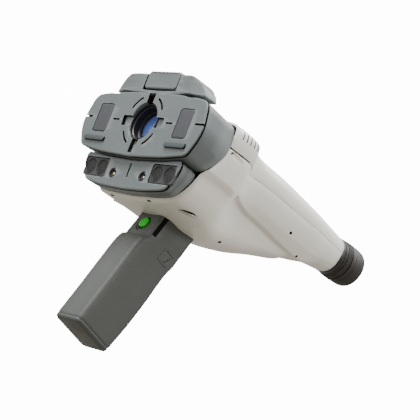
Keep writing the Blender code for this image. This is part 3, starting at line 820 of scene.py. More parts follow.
def makeFacePad(side, look):
    outline = scaled(moved(roundedBox(look["width"], look["height"], look["radius"], 6), side * look["centre"], 0))
    levels = ((0.0, look["deep"]), (0.0, 0.35), (0.15, 0.12), (0.5, 0.0), (1.4, -look["proud"]))
    name = "left" if side < 0 else "right"
    piece = shade(loftPiece(name + "FacePad", coverLevels(outline, levels)), 45)
    return settle(piece, headFrame, "head", "padGrey", (name + "_face_pad",))


for side in (-1, 1):
    makeRaisedBar(side, raisedBars)
    makeFacePad(side, facePad)

sensorRow = {
    "frameAt": (47.8, -43.5), "frame": (33.0, 16.8, 2.2), "meshOffset": 8.2, "meshRadius": 6.9,
    "lampAt": (21.3, -47.2), "lampRadius": 4.4, "groove": [(-1.0, -49.5), (1.0, -49.5), (1.0, -36.7), (-1.0, -36.7)],
    "grooveDepth": 1.4, "pocketDepth": 2.6, "lampDepth": 4.2,
    "frameLevels": ((0, 0.25), (0.1, 0.05), (0.35, -0.1)),
}


def onPlate(x, z, back, step=0.0):
    # a frame that stands on the plate's front at (x, z), +Y going in, turned with the hollow
    turn = math.atan(-2 * plate["hollow"] * x * mm)
    at = (x * mm, plateFront(x * mm, z * mm) + step + back * mm, z * mm)
    return headFrame @ Matrix.Translation(at) @ Matrix.Rotation(turn, 4, "Z") @ Matrix.Rotation(plateTilt, 4, "X")


def makeLowerCover(look):
    middle = (0.0, -0.045)
    cover = coverPiece("lowerFrontCover", plate["lowerOutline"], middle, False, plate["lowerStep"], 0.6 * mm, 0.0)
    giveFinishes(cover, ("coverGrey", "paintedShadeBlack"))
    step = plate["lowerStep"]
    # the groove, frame pockets and lamp rings have walls and floors painted shade
    cutters = [plateCutter(scaled(look["groove"]), look["grooveDepth"] * mm, 1, step)]
    x, z = look["frameAt"]
    width, height, _ = look["frame"]
    lampX, lampZ = look["lampAt"]
    for side in (-1, 1):
        pocket = moved(roundedBox(width + 0.8, height + 0.8, 2.4), side * x, z)
        cutters.append(plateCutter(scaled(pocket), look["pocketDepth"] * mm, 1, step))
        ring = moved(stadium(look["lampRadius"] * 2 + 0.5, look["lampRadius"] * 2 + 0.499, 16), side * lampX, lampZ)
        cutters.append(plateCutter(scaled(ring), look["lampDepth"] * mm, 1, step))
    cutAway(cover, cutters)
    roundEdges(cover, 0.2 * mm, 2, 40)
    shade(cover, 30)
    return settle(cover, headFrame, "head", "coverGrey", ("lower_front_cover",), ("paintedShadeBlack",))


def makeSensors(side, look):
    name = "left" if side < 0 else "right"
    x, z = look["frameAt"]
    width, height, deep = look["frame"]
    outline = scaled(roundedBox(width, height, 2.1, 6))
    rings = [[(a, lift * mm, b) for a, b in inwards(outline, shrink * mm)]
             for shrink, lift in ((0, deep), *look["frameLevels"])]
    plateBody = loftPiece(name + "SensorFrame", rings)
    cutters = []
    for offset in (-look["meshOffset"], look["meshOffset"]):
        hole = spun("cutter", [(0.001, -2), (look["meshRadius"] + 0.3, -2), (look["meshRadius"] + 0.3, 1.3),
                               (0.001, 1.3)], 48)
        hole.data.transform(Matrix.Translation((offset * mm, 0, 0)))
        cutters.append(hole)
    cutAway(plateBody, cutters)
    roundEdges(plateBody, 0.18 * mm, 2, 40)
    where = onPlate(side * x, z, 0.4, plate["lowerStep"])
    settle(shade(plateBody, 35), where, "head", "sensorPlate", (name + "_sensor_frame",))
    for offset, part in ((-look["meshOffset"], "inner" if side > 0 else "outer"),
                         (look["meshOffset"], "outer" if side > 0 else "inner")):
        radius = look["meshRadius"]
        disc = spun(name + part.capitalize() + "Mesh",
                    [(0.001, -0.35), (radius * 0.6, -0.2), (radius - 0.9, 0.0), (radius - 0.6, -0.25),
                     (radius - 0.1, -0.2), (radius, 0.05), (radius, 1.2), (0.001, 1.2)], 64)
        disc.data.transform(Matrix.Translation((offset * mm, 0.35 * mm, 0)))
        settle(shade(disc, 30), where, "head", "sensorMesh", (name + "_" + part + "_sensor_mesh",))
    # the aiming lamp: a dark ring, a step, a brassy ring and a bright point under its lens
    x, z = look["lampAt"]
    where = onPlate(side * x, z, 0.0, plate["lowerStep"])
    radius = look["lampRadius"]
    shell = spun(name + "AimingLamp", [(radius, 3.6), (radius, 0.1), (radius - 0.25, -0.15), (radius - 0.9, -0.15),
                                       (radius - 1.15, 0.2), (radius - 1.3, 1.3), (1.9, 1.5), (1.7, 2.2), (0.001, 2.4),
                                       (0.001, 3.6)], 64)
    settle(shade(shell, 30), where, "head", "blackPlastic", (name + "_aiming_lamp",))
    ring = spun(name + "LampRing", [(2.35, 2.3), (2.35, 1.75), (2.05, 1.6), (1.75, 1.85), (1.65, 2.3)], 48)
    settle(shade(ring, 30), where, "head", "lampBrass")
    bead = spun(name + "LampBead", [(0.85, 2.35), (0.8, 1.9), (0.5, 1.6), (0.001, 1.5), (0.001, 2.35)], 32)
    settle(shade(bead, 50), where, "head", "lampGlow")


makeLowerCover(sensorRow)
for side in (-1, 1):
    makeSensors(side, sensorRow)

windowLook = {
    "bezel": [(17.25, 17), (17.25, 2.2), (17.0, 1.8), (16.7, 1.7), (16.45, 1.9), (16.3, 2.5), (16.2, 4.4), (15.8, 4.7),
              (15.5, 4.5), (15.2, 4.7), (15.05, 5.3), (15.0, 10.6), (14.6, 11.0), (13.6, 11.2), (13.4, 11.6),
              (13.3, 17)],
    "lens": [(13.2, 15.0), (13.2, 13.4), (12.6, 12.9), (10.5, 12.1), (8.0, 11.5), (5.0, 11.1), (2.5, 10.9),
             (0.001, 10.85), (0.001, 15.0)],
}


def makeWindow(look):
    bezel = shade(spun("windowBezel", look["bezel"], 128), 25)
    settle(bezel, headFrame, "head", "blackPlastic", ("window_bezel",))
    lens = shade(spun("objectiveLens", look["lens"], 96), 40)
    settle(lens, headFrame, "head", "paintedReflectionLens", ("objective_lens",))


makeWindow(windowLook)
print("covers, pads, sensors and window are made")


# forehead rest
foreheadRest = {
    # right half seen from the front, round from the top middle: x, z, trim
    "outline": [(0, 46.4, 0), (36.0, 46.0, 9), (46.5, 43.6, 5), (55.0, 39.2, 5), (60.8, 30.0, 5), (61.0, 27.6, 0.8),
                (0, 27.6, 0)],
    "back": 22.8, "slot": (47.0, 17.6), "slotZ": 39.4,
    "pad": (44.0, 16.6, 3.0), "padZ": 40.3, "middle": 0.0365,
    # the front: half width of its bowed middle, its start and bow; then where the swept flanks start, and their slope
    "bowed": (0.044, 0.0052, 2.2), "swept": (0.0009, 0.30),
    "foot": ((88, 15, 6.4), (0, 12.4, 27.6)),
}


def restFront(x):
    half, start, bow = foreheadRest["bowed"]
    edge, slope = foreheadRest["swept"]
    reach = abs(x)
    if reach < half:
        return start - bow * x * x
    return edge + slope * (reach - half)


def makeForeheadRest(look):
    half = look["outline"]
    whole = [(x, 0, z) for x, z, _ in half] + [(-x, 0, z) for x, z, _ in reversed(half) if x > 0]
    trims = [6] + [trim for _, _, trim in half[1:-1]] + [1] + [trim for _, _, trim in reversed(half[1:-1])]
    path = roundedPath(whole, trims, 6, closed=True)
    middle = look["middle"]
    outline = resample([(point.x * mm, point.z * mm) for point in path], (0, middle), 256)
    back = look["back"] * mm
    rings = []
    for share in (0.06, 0.25, 0.45, 0.65, 0.82, 0.94):
        rings.append([(x * share, restFront(x * share), middle + (z - middle) * share) for x, z in outline])
    for shrink, lift in ((1.2, 0.0), (0.65, 0.12), (0.25, 0.45), (0.0, 1.1)):
        rings.append([(x, restFront(x) + lift * mm, z) for x, z in inwards(outline, shrink * mm)])
    for share in (0.3, 0.65, 0.92):
        rings.append([(x * (1 - 1.6 * back * share * (abs(x) > 0.03)),
                       restFront(x) + 0.0011 + (back - restFront(x) - 0.0011) * share,
                       z - 0.0012 * share * (z > 0.036)) for x, z in outline])
    rings.append([(x * (1 - 1.6 * back), back, z - 0.0014 * (z > 0.036)) for x, z in inwards(outline, 0.5 * mm)])
    rest = giveFinishes(loftPiece("foreheadRest", rings), ("coverGrey", "paintedShadeBlack"))
    # the slot's walls are painted shade
    width, height = look["slot"]
    slot = box("cutter", (width * mm, 28 * mm, 30 * mm), (0, 6.6 * mm, (look["slotZ"] + 15 - height / 2) * mm),
               0.8 * mm)
    cutAway(rest, [blackBody(slot, ("coverGrey", "paintedShadeBlack"))])
    roundEdges(rest, 0.35 * mm, 2, 45)
    settle(shade(rest, 32), plateFrame, "head", "coverGrey", ("forehead_rest_block",), ("paintedShadeBlack",))

    # the foot is a dark box painted shade, a shadow line under the rest
    size, at = ([value * mm for value in values] for values in look["foot"])
    foot = box("restFoot", size, at, 1.5 * mm, 3)
    settle(shade(foot, 35), headFrame, "head", "paintedShadeBlack")

    width, height, radius = look["pad"]
    outline = [(x * mm, (look["padZ"] + z) * mm) for x, z in roundedBox(width, height, radius, 8)]
    top = (look["padZ"] + height / 2) * mm
    outline = [(x, z if z < look["padZ"] * mm else min(z, top)) for x, z in outline]
    rings = []
    for share in (0.1, 0.4, 0.7, 0.9):
        rings.append([(x * share, restFront(x * share) - 0.0006, look["padZ"] * mm + (z - look["padZ"] * mm) * share)
                      for x, z in outline])
    for shrink, lift in ((1.3, 0.0), (0.6, 0.15), (0.2, 0.5), (0.0, 1.2)):
        rings.append([(x, restFront(x) - 0.0006 + lift * mm, z) for x, z in inwards(outline, shrink * mm)])
    rings.append([(x, 0.0190, z) for x, z in outline])
    rings.append([(x, 0.0195, z) for x, z in inwards(outline, 0.6 * mm)])
    settle(shade(loftPiece("foreheadPad", rings), 32), plateFrame, "forehead_pad", "coverGrey", ("forehead_rest_pad",))


makeForeheadRest(foreheadRest)
print("forehead rest is made")


# housing halves, lofted from sections across the head's axis
housing = {
    "wall": 2.0, "gap": 0.4, "reveal": 0.8,
    # distance behind the window, height of the split there
    "split": [(20, 2.5), (72, 2.5), (82, 1.2), (88, -1.6), (96, 0.4), (106, 2.2), (118, 2.5), (260, 2.5)],
    # distance, rounding along the axis, half width, height over the split, power of the top's curve
    "upper": [(None, 0, 71.2, 24.5, 7), (56, 5, 70.6, 25, 7), (68, 3, 69.6, 25, 6.6), (75.8, 1.6, 68.2, 24.8, 6),
              (79.0, 1.5, 65.0, 24.6, 5.6), (84, 3, 58.0, 24.2, 5), (88.5, 3, 53.6, 24, 4.6), (98, 6, 49, 24.4, 4),
              (108, 6, 45.6, 24, 3.6), (125, 9, 43, 24, 3.4), (150, 12, 40, 23.8, 3.2), (180, 14, 35, 22, 3),
              (210, 12, 30.8, 19.5, 2.8), (235, 10, 25, 17.8, 2.4), (258.5, 0, 18.8, 16.3, 2)],
    # distance, rounding along the axis, then the right half from under the split to the bottom middle
    "lower": [
        (None, 0, [(70.6, 0), (70.5, -10), (69.7, -24.3), (65.4, -30.0), (64.6, -32.4), (62.6, -43.6), (54.6, -55.4),
                   (40, -58.6), (0, -60.2)]),
        (3.0, 2.2, [(71.2, 0), (71.1, -10), (70.5, -24.5), (66.5, -30.5), (66.0, -33), (65, -45), (57.0, -57.4),
                    (41, -61.4), (0, -63.0)]),
        (56, 5, [(70.6, 0), (70.4, -10), (69.3, -24.9), (64.9, -30.2), (64.3, -33), (62, -46), (54.6, -58.3),
                 (37.6, -63.2), (0, -65.0)]),
        (66, 3, [(69.8, 0), (69.6, -10), (67.9, -25.3), (63.3, -30.3), (62.2, -33.4), (58.6, -47), (51.3, -59),
                 (35.0, -64.6), (0, -66.6)]),
        (71.8, 1.6, [(68.9, 0), (68.4, -10), (65.3, -25.6), (61.2, -30.4), (59.8, -34), (55.6, -47.4), (49, -59.2),
                     (33, -65.6), (0, -68.2)]),
        (76.0, 1.6, [(66.9, 0), (66.2, -10), (61.4, -25), (57.8, -31.0), (56.4, -35), (52.8, -47.6), (46.5, -59.2),
                     (31.2, -65.7), (0, -68.4)]),
        (82, 3, [(60.0, 0), (59.2, -10), (56.0, -21.6), (53.4, -26.6), (52.0, -33), (48.9, -47.6), (43.2, -59.1),
                 (29, -65.9), (0, -68.6)]),
        (87.5, 3, [(54.4, 0), (53.9, -10), (53.3, -18.5), (52.6, -21.8), (48.4, -24.8), (44.8, -47), (40, -59),
                   (26.8, -66), (0, -68.8)]),
        (98, 5, [(49, 0), (48.2, -9), (47.0, -17), (45.4, -23.0), (40.9, -24.6), (38.4, -46), (35, -58), (24, -65.5),
                 (0, -68)]),
        (115, 7, [(44.4, 0), (43.4, -8), (41.2, -17), (37.9, -24.8), (33.0, -25.9), (31.4, -41), (29, -53),
                  (20, -61.5), (0, -65)]),
        (140, 9, [(41.4, 0), (40.5, -8), (38.2, -17), (33.4, -25.1), (28.4, -26.2), (26.9, -37), (25, -47), (17, -55),
                  (0, -58)]),
        (165, 9, [(37.5, 0), (36.7, -8), (33.9, -18), (28.6, -26.9), (24.0, -27.6), (22.6, -34.3), (20.8, -40.4),
                  (13, -45.5), (0, -47.5)]),
        (185, 5, [(34.4, 0), (33.6, -8), (30.6, -18), (24.7, -27.8), (20.6, -28.4), (19.2, -32.6), (17.0, -36.6),
                  (10.0, -39.4), (0, -40.6)]),
        (194.5, 4, [(33.1, 0), (32.2, -8), (29.2, -18), (23.1, -28.1), (20.2, -28.7), (18.2, -31.2), (14.6, -34.2),
                    (8, -36.6), (0, -37.4)]),
        (199.5, 1.2, [(32.4, 0), (31.4, -8), (28.4, -18), (22.3, -28.2), (19.4, -28.5), (16.0, -28.9), (11.4, -29.1),
                      (6, -29.3), (0, -29.4)]),
        (212, 1.5, [(30.5, 0), (29.6, -8), (26.4, -18), (20.5, -28.2), (18.2, -28.5), (14.8, -28.7), (10.5, -28.8),
                    (5, -28.8), (0, -28.8)]),
        (222, 1.5, [(28, 0), (27.2, -8), (24.2, -17.4), (18.6, -24.4), (16.4, -25.0), (13.0, -25.5), (9.2, -25.8),
                    (4.5, -26), (0, -26)]),
        (236, 6, [(24.8, 0), (24.0, -7), (21.0, -14.4), (15.8, -19.0), (13.4, -19.8), (10.2, -20.4), (7, -20.7),
                  (3.6, -20.8), (0, -20.9)]),
        (258.5, 0, [(18.8, 0), (18.1, -5.4), (16.1, -10.2), (12.9, -14.2), (10.9, -15.8), (8.4, -17.2), (5.7, -18.2),
                    (3, -18.8), (0, -18.9)])],
    "acrossRounding": [0, 7, 1.6, 1.0, 1.2, 7, 6, 9, 0],
}


def splitHeight(y):
    table = housing["split"]
    for (y0, z0), (y1, z1) in zip(table, table[1:]):
        if y <= y1:
            t = max(0.0, (y - y0) / (y1 - y0))
            t = t * t * (3 - 2 * t)
            return z0 + (z1 - z0) * t
    return table[-1][1]


def alongAxisRounded(rows, trims, steps=5):
    # every lengthwise line of the loft turns its corners with the station's rounding
    lines = [roundedPath([row[i] for row in rows], trims, steps) for i in range(len(rows[0]))]
    return [[line[k] for line in lines] for k in range(len(lines[0]))]


def shellFrom(name, rows, wall):
    mesh = ringLoft(name, [[point * mm for point in row] for row in rows], around=False, capped=False)
    axis = Vector((0, 0.12, splitHeight(120) * mm))
    return thicken(newPiece(name, mesh), wall, lambda centre: centre - axis)


def upperRows(look):
    rows, trims = [], []
    count = 26
    for y, trim, half, height, power in look["upper"]:
        row = []
        for side in (1, -1):
            steps = range(count + 1) if side > 0 else range(count - 1, -1, -1)
            for i in steps:
                turn = math.pi / 2 * i / count
                c, s = max(0.0, math.cos(turn)), math.sin(turn)
                x = half * c ** (2 / power)
                rise = s ** (2 / power)
                z = 2.5 + height * rise
                if y is None:
                    back = (seamBack(z * mm) / mm + look["reveal"])
                else:
                    back = y
                z += (splitHeight(back) - 2.5 + look["gap"] / 2) * (1 - rise)
                row.append(Vector((side * x, back, z)))
        rows.append(row)
        trims.append(trim)
    return alongAxisRounded(rows, trims)


def lowerRows(look):
    rows, trims = [], []
    for y, trim, half in look["lower"]:
        whole = [(x, z) for x, z in half] + [(-x, z) for x, z in half[-2::-1]]
        rounding = look["acrossRounding"] + look["acrossRounding"][-2::-1]
        rounding[len(half) - 1] = 4
        path = roundedPath([(x, 0, z) for x, z in whole], rounding, 4)
        row = []
        for point in path:
            # the first stations follow the seam with the covers
            back = y if y is not None and y > 40 else seamBack(point.z * mm) / mm + look["reveal"] + (y or 0)
            height = point.z
            if height > -9.9:
                height += (splitHeight(back) - look["gap"] / 2) * (1 + height / 10)
            row.append(Vector((point.x, back, height)))
        rows.append(row)
        trims.append(trim)
    return alongAxisRounded(rows, trims)


def surfaceAt(piece, guess):
    _, place, normal, _ = piece.closest_point_on_mesh(Vector(guess) * mm)
    return place, normal


def pit(piece, guess, radius, depth, oval=1.0, way=(0, 1, 0)):
    # a round or oval blind hole along the surface's own normal, its walls painted shade
    place, normal = surfaceAt(piece, guess)
    cutter = spun("cutter", [(0.001, -2), (radius, -2), (radius, depth), (radius * 0.6, depth + 0.4),
                             (0.001, depth + 0.4)], 32)
    side = (Vector(way) - normal * normal.dot(Vector(way))).normalized()
    turn = Matrix((side, -normal, side.cross(-normal))).transposed()
    cutter.data.transform(Matrix.Diagonal((oval, 1, 1, 1)))
    cutter.data.transform(Matrix.Translation(place) @ turn.to_4x4())
    return blackBody(cutter)


housingDetails = {
    "sideRecess": (17.4, 3.5, 1.1, (70.5, 57.6, -1.9), -7.8),
    "vents": (5, 52.5, 5.2, 1.2, 7.5, 18.6),
    "eyelet": ((46.9, 39.6, -61.7), (49.6, 48.2, -60.6), (52, 56.4, -59.5), 8.9, 4.5, 3.6),
    "headSeam": (43.0, 71.0, 1.9, 3.2, 1.6),
    "screws": [(32.5, 176.4, -15.3, 1.5), (22.0, 203.5, -27.0, 1.2)],
    "dimple": (26, 111, -58.2, 1.4),
    "pin": [(0.001, -8.0), (0.75, -8.0), (0.9, -7.8), (0.9, 7.8), (0.75, 8.0), (0.001, 8.0)], "pinDepth": 0.35,
    "slits": [(-32.5, 25.6, -64.0, 3.0, 0.9), (21.7, 24.6, -64.6, 3.0, 0.9), (51.9, 88.9, -23.4, 1.6, 0.6)],
}


def makeHousing(look, details):
    upper = shellFrom("upperHousing", upperRows(look), look["wall"])
    lower = shellFrom("lowerHousing", lowerRows(look), look["wall"])
    for piece in (upper, lower):
        giveFinishes(piece, ("ivory", "paintedShadeBlack"))
    # the vents, the head seam strips, the screw pits and the slits leave walls painted shade
    cutters = []
    count, first, pitch, width, height, middle = details["vents"]
    for side in (-1, 1):
        for i in range(count):
            vent = box("cutter", (12 * mm, width * mm, height * mm),
                       (side * 66 * mm, (first + pitch * i) * mm, middle * mm), 0.5 * mm)
            cutters.append(blackBody(vent))
    seamCutters = []
    start, end, low, high, deep = details["headSeam"]
    for side in (-1, 1):
        for _ in range(2):
            strip = box("cutter", (2 * deep * mm, (end - start) * mm, (high - low) * mm),
                        (side * 70.6 * mm, (start + end) / 2 * mm, (low + high) / 2 * mm))
            seamCutters.append(blackBody(strip))
    cutAway(upper, cutters + seamCutters[::2])
    cutters = seamCutters[1::2]
    length, wide, deep, place, tilt = details["sideRecess"]
    for side in (-1, 1):
        outline = scaled(stadium(length + wide, wide, 10))
        rings = []
        for lift, grow in ((-4, 0.6), (-0.25, 0.55), (0.35, 0.1), (0.7, -0.15), (deep, -0.7)):
            rings.append([(-lift * mm, a, b) for a, b in inwards(outline, -grow * mm)])
        recess = loftPiece("cutter", rings)
        turn = Matrix.Rotation(math.radians(tilt), 4, "X") @ Matrix.Rotation(math.radians(-3.2), 4, "Z")
        recess.data.transform(Matrix.Translation(Vector(place) * mm) @ turn)
        if side < 0:
            recess.data.transform(Matrix.Diagonal((-1, 1, 1, 1)))
            faceOut(recess.data)
        cutters.append(blackBody(recess, ("ivory",), 0))
    start, middle, end, half, wide, deep = details["eyelet"]
    way = (Vector(end) - Vector(start)).normalized()
    place, normal = surfaceAt(lower, middle)
    for side in (-1, 1):
        pocket = spun("cutter", [(0.001, -1), (0.97, -0.25), (1, 0), (0.93, 0.35), (0.7, 0.72), (0.4, 0.93),
                                 (0.001, 1)], 48)
        along = (way - normal * normal.dot(way)).normalized()
        turn = Matrix((along, -normal, along.cross(-normal))).transposed().to_4x4()
        pocket.data.transform(Matrix.Diagonal((half, deep, wide, 1)))
        pocket.data.transform(Matrix.Translation(place + normal * 0.05 * mm) @ turn)
        if side < 0:
            pocket.data.transform(Matrix.Diagonal((-1, 1, 1, 1)))
            faceOut(pocket.data)
        cutters.append(blackBody(pocket, ("ivory", "paintedShadeBlack"), 0))
    for x, y, z, radius in details["screws"]:
        for side in (-1, 1):
            cutters.append(pit(lower, (side * x, y, z), radius, 1.5, 1.25, (0, 1, 0)))
    x, y, z, radius = details["dimple"]
    cutters.append(pit(lower, (x, y, z), radius, 0.5, 1.9, (0, 1, 0)))
    for x, y, z, half, wide in details["slits"]:
        cutters.append(pit(lower, (x, y, z), wide, 0.8, half / wide, (1, 0, 0) if y < 40 else (0, 0, 1)))
    cutAway(lower, cutters)
    for piece, node in ((upper, "upper_housing"), (lower, "lower_housing")):
        roundEdges(piece, 0.25 * mm, 2, 42)
        settle(shade(piece, 28), headFrame, "head", "ivory", (node,), ("paintedShadeBlack",))
    for side, name in ((-1, "leftStrapPin"), (1, "rightStrapPin")):
        pin = spun(name, details["pin"], 24)
        centre = place - normal * details["pinDepth"] * mm
        mirrorWay = Vector((way.x * side, way.y, way.z))
        turn = Vector((0, 1, 0)).rotation_difference(mirrorWay).to_matrix().to_4x4()
        pin.data.transform(Matrix.Translation((centre.x * side, centre.y, centre.z)) @ turn)
        settle(shade(pin, 40), headFrame, "head", "steel", ("left_strap_pin" if side < 0 else "right_strap_pin",))
    # a tongue painted shade, near black, fills the joint between the halves, where the gap lies in shade
    for side, name in ((-1, "leftSplitTongue"), (1, "rightSplitTongue")):
        rings = []
        for y in (46, 52, 58, 64, 70, 74.5, 77.5, 82, 87, 92, 98, 106, 116, 130, 150, 175, 200, 225, 245, 257):
            table = [(row[0] or 43.7, row[2]) for row in look["upper"]]
            half = next(a[1] + (b[1] - a[1]) * (y - a[0]) / (b[0] - a[0])
                        for a, b in zip(table, table[1:]) if y <= b[0]) - 1.5
            middle = splitHeight(y)
            rings.append([Vector((side * (half - inset), y, middle + rise)) * mm
                          for inset, rise in ((0, -2.2), (0, 2.2), (1.0, 2.2), (1.0, -2.2))])
        settle(shade(loftPiece(name, rings), 40), headFrame, "head", "paintedShadeBlack")


makeHousing(housing, housingDetails)
print("housing halves are made")


# grip
grip = {
    # height, front, back, half width, front corner, back corner
    "sections": [(4.3, -20.3, 22.6, 17.7, 4.8, 5.5), (6.0, -20.8, 23.1, 18.0, 5.0, 5.5),
                 (28, -21.0, 24.5, 18.0, 5.0, 5.5), (56, -21.6, 24.5, 18.0, 5.0, 5.5),
                 (76, -22.2, 23.4, 18.0, 5.0, 5.5), (86.5, -22.3, 23.0, 18.0, 5.0, 5.5),
                 (94.4, -21.0, 24.2, 18.0, 5.0, 5.5), (98.0, -17.6, 24.6, 18.0, 5.0, 5.5),
                 (108, -17.6, 24.5, 18.0, 5.4, 5.5)],
    "rounding": [0, 0.8, 8, 8, 5, 3.5, 2.0, 0.7, 3, 0],
    "top": (120.5, 129.5, -20.8, 21.2), "wall": 2.1,
    "buttonAt": 110.4, "buttonRadius": 5.2, "latch": (12.4, 13.0), "latchAt": (10.0, 97.0),
    "slot": (7.0, 9.0, 97.6),
    "neckFront": -17.6, "buttonFace": -18.2, "stem": (1.6, 13.1),
    # base cap: heights, and how far each ring draws in
    "capLevels": ((4.05, 0.35), (3.7, 0.05), (2.9, 0.0), (1.9, 0.22), (1.0, 0.8), (0.35, 1.7), (0.0, 3.0)),
}


def gripRing(front, back, half, frontCorner, backCorner, height):
    points = []
    for step in range(7):
        turn = math.radians(90 * step / 6)
        points.append((half - frontCorner + frontCorner * math.sin(turn),
                       front + frontCorner - frontCorner * math.cos(turn)))
    for step in range(3):
        points.append((half, front + frontCorner + (back - backCorner - front - frontCorner) * (step + 1) / 4))
    for step in range(9):
        turn = math.radians(90 * step / 8)
        points.append((half - backCorner + backCorner * math.cos(turn),
                       back - backCorner + backCorner * math.sin(turn)))
    whole = [(0.0, front)] + points + [(0.0, back)] + [(-x, y) for x, y in reversed(points)]
    return [Vector((x, y, height(y) if callable(height) else height)) for x, y in whole]


def makeGrip(look):
    rows = [gripRing(front, back, half, corner, backCorner, height)
            for height, front, back, half, corner, backCorner in look["sections"]]
    low, high, front, back = look["top"]
    rows.append(gripRing(-17.6, 24.0, 18.0, 5.6, 5.5, lambda y: low + (high - low) * (y - front) / (back - front)))
    rows = alongAxisRounded(rows, look["rounding"], 5)
    mesh = ringLoft("gripShell", [[point * mm for point in row] for row in rows], capped=False)
    faceOut(mesh)
    body = thicken(newPiece("gripShell", mesh), look["wall"], lambda centre: Vector((centre.x, centre.y, 0)))
    keys = ("gripGrey", "paintedShadeBlack")
    giveFinishes(body, keys)
    radius, height = look["buttonRadius"], look["buttonAt"]
    bore = spun("cutter", [(0.001, -8), (radius + 1.35, -8), (radius + 1.35, 1.0), (radius + 0.45, 1.25),
                           (radius + 0.45, 8), (0.001, 8)], 48)
    bore.data.transform(Matrix.Translation((0, look["neckFront"] * mm, height * mm)))
    # the button bore, the crescent mark and the slot window leave walls painted shade
    cutters = [blackBody(bore, keys)]
    crescent = arcBand(radius + 2.9, 0.9, 186, 262, 10)

    def crescentShape(shape):
        near = [shape.verts.new((x * mm, -20 * mm, (z + height) * mm)) for x, z in crescent]
        far = [shape.verts.new((x * mm, -17.0 * mm, (z + height) * mm)) for x, z in crescent]
        for i in range(len(crescent)):
            j = (i + 1) % len(crescent)
            shape.faces.new((near[i], near[j], far[j], far[i]))
        shape.faces.new(near)
        shape.faces.new(far)
    mark = newPiece("cutter", meshOf("cutter", crescentShape))
    faceOut(mark.data)
    cutters.append(blackBody(mark, keys))
    for side in (-1, 1):
        # a channel up the neck's front corner, painted shade
        channel = box("cutter", (2.6 * mm, 4.4 * mm, 24 * mm), (0, 0, 0), 0.9 * mm, 3)
        channel.data.transform(Matrix.Translation((side * 18.0 * mm, -13.4 * mm, 113.6 * mm))
                               @ Matrix.Rotation(math.radians(side * -20), 4, "Z"))
        cutters.append(blackBody(channel, keys, 1))
    wide, tall, z = look["slot"]
    window = box("cutter", (8 * mm, wide * mm, tall * mm), (18 * mm, look["latchAt"][0] * mm, z * mm), 0.6 * mm)
    cutters.append(blackBody(window, keys))
    cutAway(body, cutters)
    roundEdges(body, 0.3 * mm, 2, 45)
    for side, name in ((-1, "leftGripShell"), (1, "rightGripShell")):
        half = newPiece(name, body.data.copy())
        slab = box("cutter", (60 * mm, 90 * mm, 300 * mm), (-side * 30 * mm, 0, 60 * mm))
        cutAway(half, [blackBody(slab, keys)])
        node = "left_grip_shell" if side < 0 else "right_grip_shell"
        settle(shade(half, 32), gripFrame, "head", "gripGrey", (node,), ("paintedShadeBlack",))
    bpy.data.objects.remove(body)


def flankAt(y):
    # the right flank's outside at a distance y behind the grip's middle
    corner, back, half = 5.5 * mm, 24.3 * mm, 18.0 * mm
    over = y - (back - corner)
    return half if over <= 0 else half - corner + math.sqrt(max(corner ** 2 - over ** 2, 0.0))


def makeGripParts(look):
    # base cap: its lower edge is well rounded
    rows = []
    for height, shrink in look["capLevels"]:
        rows.append([point * mm for point in gripRing(-20.6 + shrink, 22.8 - shrink, 17.9 - shrink, 5.0 - shrink * 0.5,
                                                      5.5 - shrink * 0.5, height)])
    settle(shade(loftPiece("gripBaseCap", rows), 40), gripFrame, "battery", "gripGrey", ("grip_base_cap",))

    radius = look["buttonRadius"]
    stemRadius, stemEnd = look["stem"]
    button = spun("measureButton", [(stemRadius, stemEnd), (stemRadius, 1.6), (radius, 1.6), (radius, -0.3),
                                    (radius - 0.25, -0.85), (radius - 0.9, -1.15), (radius * 0.5, -1.3),
                                    (0.001, -1.35), (0.001, stemEnd)], 64)
    button.data.transform(Matrix.Translation((0, look["buttonFace"] * mm, look["buttonAt"] * mm)))
    settle(shade(button, 35), gripFrame, "measure_button", "buttonGreen", ("measure_button",))

    # the latch is a thin plate on the shell's flank, with a chevron cut in it whose walls are painted shade, and a foot
    # in the slot
    wide, tall = look["latch"]
    y, z = look["latchAt"]
    outline = scaled(roundedBox(wide, tall, 1.2, 4))
    rings = []
    for share, lift in ((0.1, 0.5), (0.5, 0.5), (0.9, 0.5), (0.97, 0.46), (1.0, 0.3), (1.0, 0.05), (0.5, 0.05),
                        (0.1, 0.05)):
        rings.append([(flankAt(y * mm + a * share) + lift * mm, y * mm + a * share, z * mm + b * share)
                      for a, b in outline])
    keys = ("gripGrey", "paintedShadeBlack")
    latch = giveFinishes(loftPiece("batteryLatch", rings), keys)
    foot = box("cutter", (3.6 * mm, 5.0 * mm, 3.6 * mm), (16.4 * mm, y * mm, 95.4 * mm), 0.3 * mm)
    cutAway(latch, [blackBody(foot, keys, 0)], "UNION")
    strokes = []
    corner = (15.3, 102.0)
    for end in ((5.6, 102.0), (10.8, 92.6)):
        dy, dz = end[0] - corner[0], end[1] - corner[1]
        length = math.hypot(dy, dz)
        stroke = box("cutter", (2.0 * mm, (length + 0.6) * mm, 0.6 * mm), (0, length / 2 * mm, 0))
        turn = Matrix.Rotation(math.atan2(dz, dy), 4, "X")
        stroke.data.transform(Matrix.Translation((18.75 * mm, corner[0] * mm, corner[1] * mm)) @ turn)
        strokes.append(blackBody(stroke, keys))
    cutAway(latch, strokes)
    settle(shade(latch, 35), gripFrame, "latch", "gripGrey", ("battery_latch",), ("paintedShadeBlack",))


makeGrip(grip)
makeGripParts(grip)
print("grip is made")


